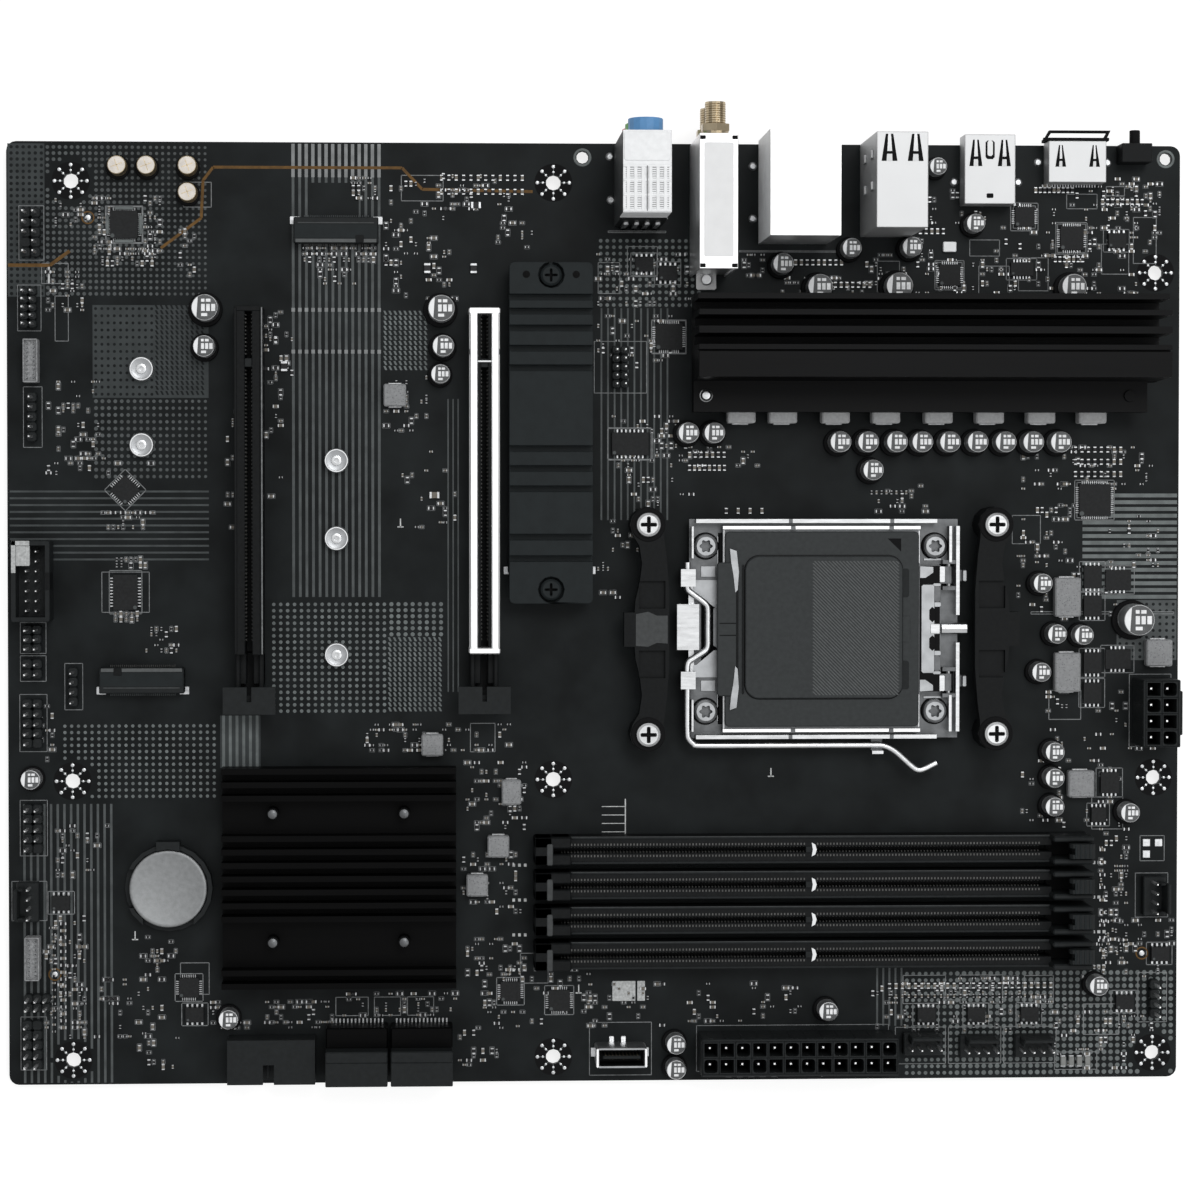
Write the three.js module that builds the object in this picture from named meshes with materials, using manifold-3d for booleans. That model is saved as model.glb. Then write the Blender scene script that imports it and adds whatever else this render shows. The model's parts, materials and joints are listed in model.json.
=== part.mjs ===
// ATX motherboard, laid flat with the component side up and the rear connectors on +Y.
// Millimetres. Positions are given from the board's rear left corner: x to the right
// along the rear edge, d forward from the rear edge. Heights are above the board's top face.
import * as THREE from "three";
import { mergeVertices } from "three/addons/utils/BufferGeometryUtils.js";
import Module from "manifold-3d";

const wasm = await Module();
wasm.setup();

// ---- driving dimensions
const BOARD_L = 304.8; // along the rear edge
const BOARD_W = 243.84; // rear edge to front edge
const BOARD_T = 1.6;
const TAIL = 2.2; // solder tails and the cooler backplate below the board
const REAR_REACH = 8.0; // aerial sockets past the rear edge
const TOP = TAIL + BOARD_T;

const SCREW_HOLES = [
  [16.51, 10.16], [140.97, 10.16], [298.45, 33.02],
  [16.51, 165.1], [140.97, 165.1], [298.45, 165.1],
  [16.51, 237.49], [140.97, 237.49], [298.45, 237.49],
];
const SCREW_HOLE_R = 1.98;
const LAND_R = 5.0;
const LAND_T = 0.1;
const TOOLING_HOLES = [[148.5, 3.6], [301.0, 3.4]];

const SOCKET = [210.0, 125.7]; // middle of the processor socket
const COOLER_X = 45;
const COOLER_Y = 27;
const CLAMP_X = 29.8;
const CLAMP_Y = 21.4;

const DIMM_X = 135.8;
const DIMM_D = [182.9, 192.0, 201.1, 210.2];
const DIMM_L = 144.6;
const LATCH_PIVOT = [141.9, 3.2]; // along the slot, above the board

const CARD_SLOT_X = [122.9, 62.6];
const CARD_SLOT_D = 42.8;
const CARD_PIVOT = [101.9, 3.0]; // along the slot, above the board

const LOAD_HINGE = [33.2, 5.6]; // from the socket's middle, above the board
const LEVER_AXIS = [-34.6, 6.0];
const WIRE_R = 0.85;

const MODULE_X = 140.0; // middle of the covered storage module
const SHORT_MODULE_X = 34.7;
const LONG_MODULE_X = 84.8;

// ---- solids

function toSolid(geometry) {
  const bare = new THREE.BufferGeometry();
  const whole = geometry.index ? geometry.toNonIndexed() : geometry;
  bare.setAttribute("position", whole.getAttribute("position"));
  const merged = mergeVertices(bare, 1e-4);
  const mesh = new wasm.Mesh({
    numProp: 3,
    vertProperties: merged.attributes.position.array,
    triVerts: new Uint32Array(merged.index.array),
  });
  return new wasm.Manifold(mesh);
}

function toGeometry(solid) {
  const mesh = solid.getMesh();
  const geometry = new THREE.BufferGeometry();
  const flat = new Float32Array(mesh.triVerts.length * 3);
  mesh.triVerts.forEach((v, i) => {
    for (let k = 0; k < 3; k += 1) flat[i * 3 + k] = mesh.vertProperties[v * mesh.numProp + k];
  });
  geometry.setAttribute("position", new THREE.BufferAttribute(flat, 3));
  geometry.computeVertexNormals();
  return geometry;
}

const join = (first, ...rest) => rest.reduce((a, b) => a.add(b), first);
const cut = (first, ...rest) => rest.reduce((a, b) => a.subtract(b), first);

function box(x0, x1, y0, y1, z0, z1) {
  const g = new THREE.BoxGeometry(x1 - x0, y1 - y0, z1 - z0);
  g.translate((x0 + x1) / 2, (y0 + y1) / 2, (z0 + z1) / 2);
  return toSolid(g);
}

// Upright cylinder; sides 12 unless said.
function rod(x, y, z0, z1, r, sides = 12, rTop = r) {
  const g = new THREE.CylinderGeometry(rTop, r, z1 - z0, sides);
  g.rotateX(Math.PI / 2);
  g.translate(x, y, (z0 + z1) / 2);
  return toSolid(g);
}

// Cylinder along X or along Y.
function rodX(x0, x1, y, z, r, sides = 12) {
  const g = new THREE.CylinderGeometry(r, r, x1 - x0, sides);
  g.rotateZ(-Math.PI / 2);
  g.translate((x0 + x1) / 2, y, z);
  return toSolid(g);
}

function rodY(y0, y1, x, z, r, sides = 12) {
  const g = new THREE.CylinderGeometry(r, r, y1 - y0, sides);
  g.translate(x, (y0 + y1) / 2, z);
  return toSolid(g);
}

// Plan outline pushed up from z0 to z1.
function slab(points, z0, z1) {
  const shape = new THREE.Shape(points.map(([x, y]) => new THREE.Vector2(x, y)));
  const g = new THREE.ExtrudeGeometry(shape, { depth: z1 - z0, bevelEnabled: false });
  g.translate(0, 0, z0);
  return toSolid(g);
}

// Outline in (y, z) pushed along X.
function barX(points, x0, x1) {
  const shape = new THREE.Shape(points.map(([y, z]) => new THREE.Vector2(y, z)));
  const g = new THREE.ExtrudeGeometry(shape, { depth: x1 - x0, bevelEnabled: false });
  const turn = new THREE.Matrix4().makeBasis(
    new THREE.Vector3(0, 1, 0), new THREE.Vector3(0, 0, 1), new THREE.Vector3(1, 0, 0));
  g.applyMatrix4(turn);
  g.translate(x0, 0, 0);
  return toSolid(g);
}

// Outline in (x, z) pushed along Y from y0 to y1.
function barY(points, y0, y1) {
  const shape = new THREE.Shape(points.map(([x, z]) => new THREE.Vector2(x, z)));
  const g = new THREE.ExtrudeGeometry(shape, { depth: y1 - y0, bevelEnabled: false });
  g.rotateX(Math.PI / 2);
  g.translate(0, y1, 0);
  return toSolid(g);
}

function roundedOutline(x0, x1, y0, y1, r, steps = 4) {
  const points = [];
  const corners = [[x1 - r, y0 + r, -90], [x1 - r, y1 - r, 0], [x0 + r, y1 - r, 90], [x0 + r, y0 + r, 180]];
  for (const [cx, cy, start] of corners) {
    for (let i = 0; i <= steps; i += 1) {
      const a = THREE.MathUtils.degToRad(start + (90 * i) / steps);
      points.push([cx + r * Math.cos(a), cy + r * Math.sin(a)]);
    }
  }
  return points;
}

// Round wire along a smooth path.
function wire(points, r, steps, sides = 8) {
  const path = new THREE.CatmullRomCurve3(points.map((p) => new THREE.Vector3(...p)), false, "catmullrom", 0.2);
  const ring = [];
  for (let i = 0; i < sides; i += 1) {
    const a = (2 * Math.PI * i) / sides;
    ring.push(new THREE.Vector2(r * Math.cos(a), r * Math.sin(a)));
  }
  const g = new THREE.ExtrudeGeometry(new THREE.Shape(ring), { steps, extrudePath: path, bevelEnabled: false });
  return toSolid(g);
}

// ---- assembly
const board = new THREE.Group();
board.name = "motherboard";
// The part's frame: origin under the middle of everything, at the lowest point.
board.position.set(-BOARD_L / 2, (BOARD_W - REAR_REACH) / 2, 0);

const finishes = {
  laminate: { color: 0x17191b, roughness: 0.55 },
  blackMetal: { color: 0x202225, roughness: 0.45, metalness: 0.6 },
  steel: { color: 0xc9ccd0, roughness: 0.3, metalness: 1.0 },
  tin: { color: 0xe6e8ea, roughness: 0.25, metalness: 1.0 },
  gold: { color: 0xd9a94a, roughness: 0.3, metalness: 1.0 },
  blackPlastic: { color: 0x141516, roughness: 0.5 },
  greyPlastic: { color: 0xc6c8ca, roughness: 0.5 },
  rubber: { color: 0x101112, roughness: 0.8 },
};

// Puts a solid's own origin at (x, d), z above the lowest point, turned about the upright axis.
function put(name, solid, finish, x = 0, d = 0, z = TOP, turn = 0) {
  const mesh = new THREE.Mesh(toGeometry(solid), new THREE.MeshStandardMaterial(finishes[finish]));
  mesh.name = name;
  mesh.position.set(x, -d, z);
  mesh.rotation.z = THREE.MathUtils.degToRad(turn);
  board.add(mesh);
}

// Bare board with its screw-hole lands, solder tails, module stand-offs and chip pads.
function circuitBoard() {
  const outline = roundedOutline(0, BOARD_L, -BOARD_W, 0, 2.5);
  let solid = slab(outline, TAIL, TOP);
  for (const [x, d] of SCREW_HOLES) {
    solid = join(solid, rod(x, -d, TAIL - LAND_T, TAIL + 0.5, LAND_R, 12));
  }
  const tails = [
    [56, 69, 60, 130], [116, 129.6, 60, 130], [137, 270, 181, 185], [137, 270, 208, 212],
    [181, 227, 232, 239], [295, 300, 140, 155], [58, 78, 232, 238], [84, 112, 230, 236],
    [160, 168, 6, 20], [196, 210, 6, 24], [222, 232, 6, 22], [270, 282, 3, 9], [4, 9, 104, 122],
    [4, 9, 18, 30], [4, 9, 171, 183], [295, 300, 192, 200], [75, 94, 20, 25], [24, 45, 135, 141],
    [178, 200, 66, 70], [60, 110, 175, 205], [262, 270, 232, 236], [4, 9, 205, 215],
  ];
  for (const [x0, x1, d0, d1] of tails) solid = join(solid, box(x0, x1, -d1, -d0, 0, TAIL + 0.5));
  const posts = [
    [LONG_MODULE_X, 82.2, 2.5], [LONG_MODULE_X, 102.3, 2.5], [LONG_MODULE_X, 132.4, 2.5],
    [SHORT_MODULE_X, 58.6, 2.5], [SHORT_MODULE_X, 78.2, 2.5],
  ];
  for (const [x, d, h] of posts) {
    solid = cut(join(solid, rod(x, -d, TOP - 0.5, TOP + h, 3.0, 10)), rod(x, -d, TOP + h - 2.0, TOP + h + 1, 1.2, 6));
  }
  for (const d of [34.7, 115.4]) {
    solid = join(solid, rod(MODULE_X, -d, TOP - 0.5, TOP + 5.0, 2.6, 8));
  }
  solid = join(solid, box(76, 95, -199, -180, TOP - 0.5, TOP + 2.4));
  const holes = SCREW_HOLES.map(([x, d]) => [x, d, SCREW_HOLE_R]);
  for (const [x, d] of TOOLING_HOLES) holes.push([x, d, 1.6]);
  for (const [sx, sy] of [[-1, 1], [1, 1], [-1, -1], [1, -1]]) {
    holes.push([SOCKET[0] + sx * COOLER_X, SOCKET[1] + sy * COOLER_Y, 2.3]);
    holes.push([SOCKET[0] + sx * CLAMP_X, SOCKET[1] + sy * CLAMP_Y, 2.0]);
  }
  for (const [x, d, r] of holes) solid = cut(solid, rod(x, -d, -1, TOP + 1, r, 10));
  return solid;
}

// ---- heatsinks
function converterHeatsink() {
  const wall = [
    [-40.1, 6.4], [-69.8, 6.4], [-69.8, 12], [-61.8, 12], [-61.8, 13.4], [-61.4, 28], [-55.0, 28],
    [-55.0, 26], [-54.5, 26], [-54.5, 28], [-53.2, 28], [-52.8, 14], [-50.6, 14], [-50.4, 28],
    [-48.6, 28], [-48.2, 14], [-46.0, 14], [-45.8, 28], [-44.4, 28], [-44.0, 14], [-41.8, 14],
    [-41.6, 25], [-40.1, 25],
  ];
  let solid = barX([...wall].reverse(), 176.4, 296.2);
  solid = cut(solid, box(293.6, 297, -70, -62.0, 0, 13));
  for (const [x, d] of [[179.6, 65.6], [289.0, 65.6], [179.6, 46.0], [293.0, 50.0]]) {
    solid = join(solid, rod(x, -d, 0, 7, 2.4));
  }
  return join(solid, rod(179.6, -65.6, 11.9, 12.7, 1.5), rod(289.0, -65.6, 11.9, 12.7, 1.5));
}

function chipsetHeatsink() {
  const x0 = 55.4;
  const x1 = 115.6;
  let solid = box(x0, x1, -217.9, -161.2, 2.4, 4.6);
  const fins = 17;
  const pitch = (56.7 - 1.5) / (fins - 1);
  for (let i = 0; i < fins; i += 1) {
    const d = 161.2 + i * pitch;
    const inBand = (d > 168.3 && d < 177.0) || (d > 200.9 && d < 209.6);
    if (!inBand) solid = join(solid, box(x0, x1, -d - 1.5, -d, 4.5, 10));
  }
  for (const x of [68.5, 102.2]) {
    for (const d of [172.9, 206.0]) solid = join(solid, rod(x, -d, 4.5, 8.4, 1.6));
  }
  return solid;
}

function moduleHeatsink() {
  const d0 = 31.4;
  const d1 = 119.0;
  let solid = slab(roundedOutline(-10.75, 10.75, -d1, -d0, 1.2, 2), 5.0, 10.0);
  for (const d of [40.4, 44.0, 48.3, 53.5, 58.5, 79.2, 84.3, 89.5, 101.9, 107.4]) {
    solid = cut(solid, box(-12, 12, -d - 0.8, -d + 0.8, 7.6, 11));
  }
  for (const d of [34.7, 115.4]) {
    solid = cut(solid, rod(0, -d, 7.4, 11, 3.4), rod(0, -d, 4, 8, 1.7));
  }
  return solid;
}

const moduleScrew = () => cut(
  join(rod(0, 0, 7.4, 9.4, 2.9), rod(0, 0, 5.0, 7.5, 1.3)),
  box(-1.7, 1.7, -0.35, 0.35, 8.7, 10), box(-0.35, 0.35, -1.7, 1.7, 8.7, 10));

// ---- processor socket, all about its own middle
function socketBody() {
  let solid = box(-26.2, 25.0, -24.5, 24.5, 0, 4.8);
  solid = cut(solid, box(-20.2, 20.2, -20.2, 20.2, 2.4, 6));
  return cut(solid, box(-22.5, -20, -6, 6, 3.4, 6), box(20, 22.5, -6, 6, 3.4, 6));
}

function socketFrame() {
  let solid = box(-34.0, 35.9, -28.4, 28.4, 3.0, 4.2);
  solid = cut(solid, box(-26.5, 25.3, -24.8, 24.8, 2, 6));
  for (const side of [-1, 1]) {
    const y0 = side < 0 ? -28.4 : 27.4;
    solid = join(solid, box(-32.5, 30.0, y0, y0 + 1, 3.0, 7.6));
    const e0 = side < 0 ? -26.6 : 3.6;
    solid = join(solid, box(35.0, 35.9, e0, e0 + 23, 3.0, 7.4));
    solid = join(solid, box(-33.6, -33.1, side < 0 ? -26.5 : 18.3, side < 0 ? -18.3 : 26.5, 3.0, 7.2));
    for (const x of [-CLAMP_X, CLAMP_X]) solid = join(solid, rod(x, side * CLAMP_Y, 0, 3.5, 3.6));
  }
  // Slots the knuckles of the load plate turn in, with an axle between two ears.
  for (const side of [-1, 1]) {
    const low = side < 0 ? -16.4 : 11.4;
    solid = cut(solid, box(31.2, 34.9, low - 0.3, low + 5.3, 2, 6));
    for (const y of [low - 1.4, low + 5.4]) solid = join(solid, box(31.6, 35.9, y, y + 1.0, 3.0, 6.9));
    solid = join(solid, rodY(low - 1.0, low + 6.0, LOAD_HINGE[0], LOAD_HINGE[1], 0.6, 8));
    // Cradles that the lever turns in.
    const c = side < 0 ? -15.5 : 11.0;
    let cradle = box(-36.4, -32.6, c, c + 4.5, 3.0, 7.6);
    cradle = cut(cradle, rodY(c - 1, c + 6, LEVER_AXIS[0], LEVER_AXIS[1], WIRE_R + 0.25, 10));
    solid = join(solid, cradle);
  }
  solid = cut(solid, box(-33.6, -26, -9.5, 9.9, 2, 4.0), box(-30.9, -26, -9.5, 9.9, 2, 8));
  solid = join(solid, box(-35.4, -33.2, -5.4, 6.4, 3.6, 4.6), box(-37.3, -31.6, -5.4, 6.4, 4.4, 6.4));
  solid = join(solid, box(-34.2, -32.8, -12, -5, 3.0, 4.6), box(-34.2, -32.8, 6, 12, 3.0, 4.6));
  solid = join(solid, box(33.2, 33.9, -26.6, -17.2, 3.0, 7.4), box(33.2, 33.9, 17.2, 26.6, 3.0, 7.4));
  solid = join(solid, rodX(31.4, 38.0, 0, 5.6, 1.5, 8), box(33.5, 35.5, -1.4, 1.4, 3.0, 5));
  // Catch under the lever's arm.
  solid = join(solid, box(13.3, 16.2, -32.4, -28.0, 3.6, 4.8), box(13.3, 16.2, -32.4, -31.6, 3.6, 7.2));
  for (const x of [-CLAMP_X, CLAMP_X]) {
    for (const y of [-CLAMP_Y, CLAMP_Y]) solid = cut(solid, rod(x, y, -1, 5, 1.9));
  }
  return solid;
}

function loadPlate() {
  let solid = box(-25.6, 25.6, -26.6, 26.6, 6.2, 7.2);
  solid = cut(solid, box(-20.6, 20.6, -21.5, 21.5, 5, 9));
  for (const y of [-26.6, 25.8]) solid = join(solid, box(-25.6, 25.6, y, y + 0.8, 5.2, 8.0));
  solid = join(solid, box(25.0, 31.0, -16.4, 16.4, 6.2, 7.2));
  solid = join(solid, slab([[-25, -6.2], [-25, 7.2], [-28.0, 5.2], [-28.0, -4.2]].reverse(), 6.2, 7.2));
  for (const low of [-16.1, 11.7]) {
    solid = join(solid, box(30.0, LOAD_HINGE[0], low, low + 4.4, 6.2, 6.9));
    solid = join(solid, rodY(low, low + 4.4, LOAD_HINGE[0], LOAD_HINGE[1], 1.3));
    solid = cut(solid, rodY(low - 1, low + 6, LOAD_HINGE[0], LOAD_HINGE[1], 0.85, 8));
  }
  for (const y of [-7.2, 7.2]) solid = cut(solid, rod(29.4, y, 5, 9, 1.9, 10));
  return solid;
}

function loadLever() {
  const [x, z] = LEVER_AXIS;
  const points = [
    [x, 17.2, z], [x, 13.5, z], [x, 10.4, z], [x + 1.6, 8.9, z], [x + 4.6, 6.6, z], [x + 5.3, 5.0, z],
    [x + 5.3, 0, z], [x + 5.3, -4.0, z], [x + 4.6, -5.6, z], [x + 1.6, -7.6, z], [x, -9.2, z],
    [x, -16, z], [x, -26.5, z], [x + 0.4, -28.4, z], [x + 1.6, -29.7, z], [x + 3.6, -30.2, z],
    [-12, -30.2, z], [12.5, -30.2, z], [16.5, -30.4, z], [19.5, -31.9, z], [24.4, -36.2, z],
    [26.4, -36.6, z], [30.2, -34.8, z],
  ];
  return wire(points, WIRE_R, 76, 6);
}

function socketCover() {
  let solid = slab(roundedOutline(-25.1, 25.2, -25.2, 25.2, 1.2, 2), 7.2, 8.4);
  solid = join(solid, box(-27.1, -21.9, -17.2, 17.2, 7.2, 9.0));
  solid = join(solid, slab(roundedOutline(-20.1, 20.3, -18.2, 18.2, 3, 3), 8.3, 9.3));
  solid = join(solid, box(-20.2, 20.2, -21.0, 21.0, 5.2, 7.4));
  return solid;
}

function backplate() {
  let solid = slab(roundedOutline(-52, 52, -33, 33, 6, 3), 0, TAIL);
  solid = cut(solid, box(-20, 20, -14, 14, -1, TAIL + 1));
  for (const sx of [-1, 1]) {
    for (const sy of [-1, 1]) {
      solid = join(solid, rod(sx * COOLER_X, sy * COOLER_Y, TAIL - 0.5, TOP + 3.0, 2.0));
      solid = join(solid, rod(sx * CLAMP_X, sy * CLAMP_Y, TAIL - 0.5, TOP + 0.5, 1.7));
    }
  }
  return solid;
}

// Cooler bracket on the +x side of the socket.
function coolerBracket() {
  const half = [
    [39.5, 0], [39.6, -10], [40.3, -19], [40.9, -23.5], [41.2, -28.6], [43.0, -30.9], [45.0, -31.5],
    [47.4, -30.9], [49.2, -29.0], [49.7, -27.0], [49.0, -24.4], [47.3, -21.6], [46.6, -17], [47.2, -12],
    [48.3, -7.5], [48.5, -4.4], [51.2, -4.4], [51.2, 0],
  ];
  const points = [...half, ...half.slice(1, -1).reverse().map(([x, y]) => [x, -y])];
  let solid = slab(points, 5.5, 9.5);
  solid = cut(solid, box(40.6, 47.4, -12.5, -5.4, 8.3, 10), box(40.6, 47.4, 5.4, 12.5, 8.3, 10));
  for (const y of [-COOLER_Y, COOLER_Y]) {
    solid = join(solid, rod(COOLER_X, y, 0, 9.5, 4.6));
    solid = cut(solid, rod(COOLER_X, y, -1, 11, 2.3));
  }
  return solid;
}

const bracketScrew = () => cut(
  join(rod(0, 0, 9.5, 11.5, 3.6, 12, 2.8), rod(0, 0, 3.0, 9.6, 1.9)),
  box(-2.0, 2.0, -0.45, 0.45, 10.4, 12), box(-0.45, 0.45, -2.0, 2.0, 10.4, 12));

const clampScrew = () => cut(
  join(rod(0, 0, 4.2, 6.2, 3.2, 12), rod(0, 0, 0.5, 4.3, 1.6)),
  rod(0, 0, 5.0, 7, 1.6, 6));

// ---- memory slots: x from the fixed end
function memorySlot() {
  let solid = box(0, 135.0, -3.6, 3.6, 0, 6.8);
  solid = join(solid, box(0, 9.4, -3.6, 3.6, 0, 9.0), box(134, DIMM_L, -3.6, 3.6, 0, 1.0));
  for (const y of [-3.6, 2.2]) solid = join(solid, box(134, DIMM_L, y, y + 1.4, 0, 11.6));
  const [px, pz] = LATCH_PIVOT;
  solid = cut(solid, rodY(-3.1, 3.1, px, pz, 1.15, 10));
  solid = cut(solid, box(4.6, 70.4, -0.8, 0.8, 1.4, 12), box(72.6, 133, -0.8, 0.8, 1.4, 12));
  return cut(solid, box(132, 136, -0.8, 0.8, 1.4, 12));
}

function memoryLatch() {
  const [px, pz] = LATCH_PIVOT;
  const outline = [
    [-1.6, -1.4], [1.0, -1.6], [1.8, -0.4], [1.9, 5.6], [2.3, 7.2], [2.5, 10.4], [1.6, 11.2],
    [-3.4, 11.2], [-4.0, 10.4], [-4.0, 8.6], [-1.9, 7.4], [-1.7, 0],
  ];
  const points = outline.map(([x, z]) => [px + x, pz + z]);
  let solid = barY(points, -1.9, 1.9);
  solid = cut(solid, box(px - 4.4, px - 2.4, -0.8, 0.8, pz + 8, pz + 12));
  return join(solid, rodY(-2.9, 2.9, px, pz, 0.85, 8));
}

// ---- expansion slots: y forward negative from the rear end
function expansionSlot() {
  let solid = box(-3.65, 3.65, -89.2, 0, 0, 11.2);
  solid = cut(solid, box(-0.9, 0.9, -13.4, -1.4, 2.2, 12), box(-0.9, 0.9, -88.0, -15.6, 2.2, 12));
  solid = join(solid, box(-3.65, 3.65, -104.9, -89.0, 0, 1.0), box(-3.65, 3.65, -97.0, -89.0, 0, 5.2));
  for (const x of [-3.65, 2.35]) solid = join(solid, box(x, x + 1.3, -104.9, -89.0, 0, 6.6));
  solid = cut(solid, box(-0.9, 0.9, -98, -88.1, 2.2, 12));
  return cut(solid, rodX(-3.2, 3.2, -CARD_PIVOT[0], CARD_PIVOT[1], 1.15, 10));
}

function expansionLatch() {
  const [py, pz] = CARD_PIVOT;
  const outline = [[1.6, -1.3], [-1.5, -1.3], [-1.8, 4.2], [-2.4, 6.0], [2.6, 6.0], [1.9, 4.2]];
  const points = outline.map(([y, z]) => [-py + y, pz + z]);
  let solid = barX([...points].reverse(), -2.05, 2.05);
  solid = join(solid, box(-6.7, 6.7, -py - 2.6, -py + 4.4, pz + 5.2, pz + 7.2));
  solid = cut(solid, box(-0.6, 0.6, -py + 0.6, -py + 5, pz + 4.8, pz + 8));
  return join(solid, rodX(-2.9, 2.9, -py, pz, 0.85, 8));
}

function slotShield() {
  let solid = box(-4.05, 4.05, -89.0, -0.4, 1.2, 11.6);
  solid = cut(solid, box(-3.65, 3.65, -90, 1, 0, 11.2), box(-1.3, 1.3, -87.8, -1.6, 10, 13));
  return solid;
}

// ---- connectors
function moduleConnector() {
  let solid = box(-10.9, 10.9, -6.6, 0, 0, 4.2);
  solid = cut(solid, box(-10.1, 10.1, -8, -2.0, 1.6, 2.9));
  return join(solid, box(5.6, 6.8, -6.4, -1.8, 1.5, 3.0));
}

// Upright power header, rows along x, latch tab on -y.
function powerHeader(columns) {
  const pitch = 4.2;
  const halfX = (columns * pitch + 0.6) / 2;
  let solid = box(-halfX, halfX, -4.9, 4.9, 0, 12.8);
  for (let c = 0; c < columns; c += 1) {
    for (const y of [-pitch / 2, pitch / 2]) {
      const x = (c - (columns - 1) / 2) * pitch;
      solid = cut(solid, box(x - 1.8, x + 1.8, y - 1.8, y + 1.8, 2.4, 14));
      solid = join(solid, box(x - 0.5, x + 0.5, y - 0.5, y + 0.5, 2.3, 9.6));
    }
  }
  return join(solid, box(-5.7, 5.7, -5.9, -4.8, 4.0, 10.8));
}

function storageStack() {
  let solid = join(box(-7.95, 7.95, -14.2, -5.2, 0, 14.2), box(-7.95, 7.95, -5.4, 0, 0, 8.6));
  for (const z of [1.6, 8.4]) {
    solid = cut(solid, box(-6.4, 6.4, -16, -8.0, z, z + 4.4));
    solid = join(solid, box(-5.4, 5.0, -13.4, -7.9, z + 2.2, z + 3.4), box(3.8, 5.0, -13.4, -7.9, z + 1.0, z + 3.3));
  }
  return solid;
}

function panelUsbHeader() {
  let solid = box(-11.3, 11.3, -11.5, 0, 0, 8.8);
  solid = cut(solid, box(-10.1, 10.1, -13, -3.0, 1.4, 7.4), box(-2.1, 0.7, -13, -6.4, 7, 10));
  for (let i = 0; i < 10; i += 1) {
    for (const z of [3.4, 5.4]) {
      if (i === 0 && z > 5) continue;
      const x = (i - 4.5) * 2.0;
      solid = join(solid, box(x - 0.25, x + 0.25, -10.2, -2.9, z - 0.25, z + 0.25));
    }
  }
  return solid;
}

function panelUsbcHeader() {
  let solid = slab(roundedOutline(-6.5, 6.5, -2.6, 2.6, 0.8, 2), 0, 9.2);
  solid = cut(solid, box(-5.7, 5.7, -1.8, 1.8, 2.4, 11));
  return join(solid, box(-4.9, 4.9, -0.45, 0.45, 2.3, 8.4));
}

function boxHeader() {
  let solid = box(-4.9, 4.9, -20.7, 0, 0, 8.8);
  solid = cut(solid, box(-3.7, 3.7, -19.6, -1.1, 2.2, 10), box(3.5, 6, -12.6, -8.1, 2.2, 10));
  for (let i = 0; i < 7; i += 1) {
    for (const x of [-1.27, 1.27]) {
      const y = -10.35 + (i - 3) * 2.54;
      solid = join(solid, box(x - 0.32, x + 0.32, y - 0.32, y + 0.32, 2.1, 8.0));
    }
  }
  return solid;
}

// Shrouded four-pin fan header.
function fanHeader() {
  let solid = join(box(-5.15, 5.15, -2.9, 2.9, 0, 3.0), box(-3.9, 3.9, 1.9, 2.9, 0, 9.6));
  for (let i = 0; i < 4; i += 1) {
    const x = (i - 1.5) * 2.54;
    solid = join(solid, box(x - 0.32, x + 0.32, -0.9, -0.26, 2.9, 9.2));
  }
  return solid;
}

// ---- rear connectors: y is 0 at the board's rear edge, +y out of the case
function audioJacks() {
  let solid = join(box(-6.1, 6.1, -21.0, -0.5, 0, 35.0), box(-6.1, 6.1, -21.6, -20.5, 0, 22));
  for (const z of [6.6, 17.6, 28.6]) {
    solid = join(solid, rodY(-1.0, 3.0, 0, z, 4.4, 16));
    solid = cut(solid, rodY(-12, 4, 0, z, 1.75, 12));
  }
  return solid;
}

function wirelessBox() {
  let solid = box(-4.85, 4.85, -34.4, -0.5, 0, 29.0);
  solid = cut(solid, box(-4.2, 4.2, -35, -1.2, -1, 28.4));
  return join(solid, box(-4.3, 4.3, -33.8, -33.2, 0, 28.5));
}

function aerialSocket() {
  const hex = new THREE.CylinderGeometry(3.9, 3.9, 1.8, 6);
  hex.translate(0, 1.5, 0);
  let solid = join(rodY(-0.5, 8.0, 0, 0, 2.6, 16), toSolid(hex), rodY(-0.5, 0.7, 0, 0, 3.4, 16));
  solid = cut(solid, rodY(3.4, 9, 0, 0, 1.9, 12));
  return join(solid, rodY(3.0, 7.2, 0, 0, 0.5, 8));
}

const usbMouth = (x, z, depth) => box(x - 6.1, x + 6.1, -depth, 9, z - 2.4, z + 2.4);
const usbTongue = (x, z, y0, y1) => box(x - 5.5, x + 5.5, y0, y1, z + 0.1, z + 1.6);

function networkPort() {
  let solid = box(-8.9, 8.9, -25.9, 0.9, 0, 28.0);
  solid = cut(solid, box(-5.9, 5.9, -14, 2, 17.4, 25.6), box(-3.0, 3.0, -14, 2, 15.6, 18));
  solid = cut(solid, box(-4.6, 4.6, -14.1, -13.0, 15.6, 17.5));
  for (const z of [4.2, 11.2]) {
    solid = cut(solid, usbMouth(0, z, 14));
    solid = join(solid, usbTongue(0, z, -14.5, 0.2));
  }
  return solid;
}

function usbStack() {
  let solid = box(-6.5, 6.5, -24.0, 0, 0, 29.6);
  for (const z of [4.0, 11.2, 18.4, 25.6]) {
    solid = cut(solid, box(-6.1, 6.1, -14, 1, z - 2.4, z + 2.4));
    solid = join(solid, usbTongue(0, z, -14.5, -0.7));
  }
  return solid;
}

function usbPort() {
  let solid = cut(box(-6.6, 6.6, -15.9, 2.0, 0, 7.4), box(-6.1, 6.1, -12, 3, 1.3, 6.1));
  return join(solid, usbTongue(0, 3.7, -12.5, 1.2));
}

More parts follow.
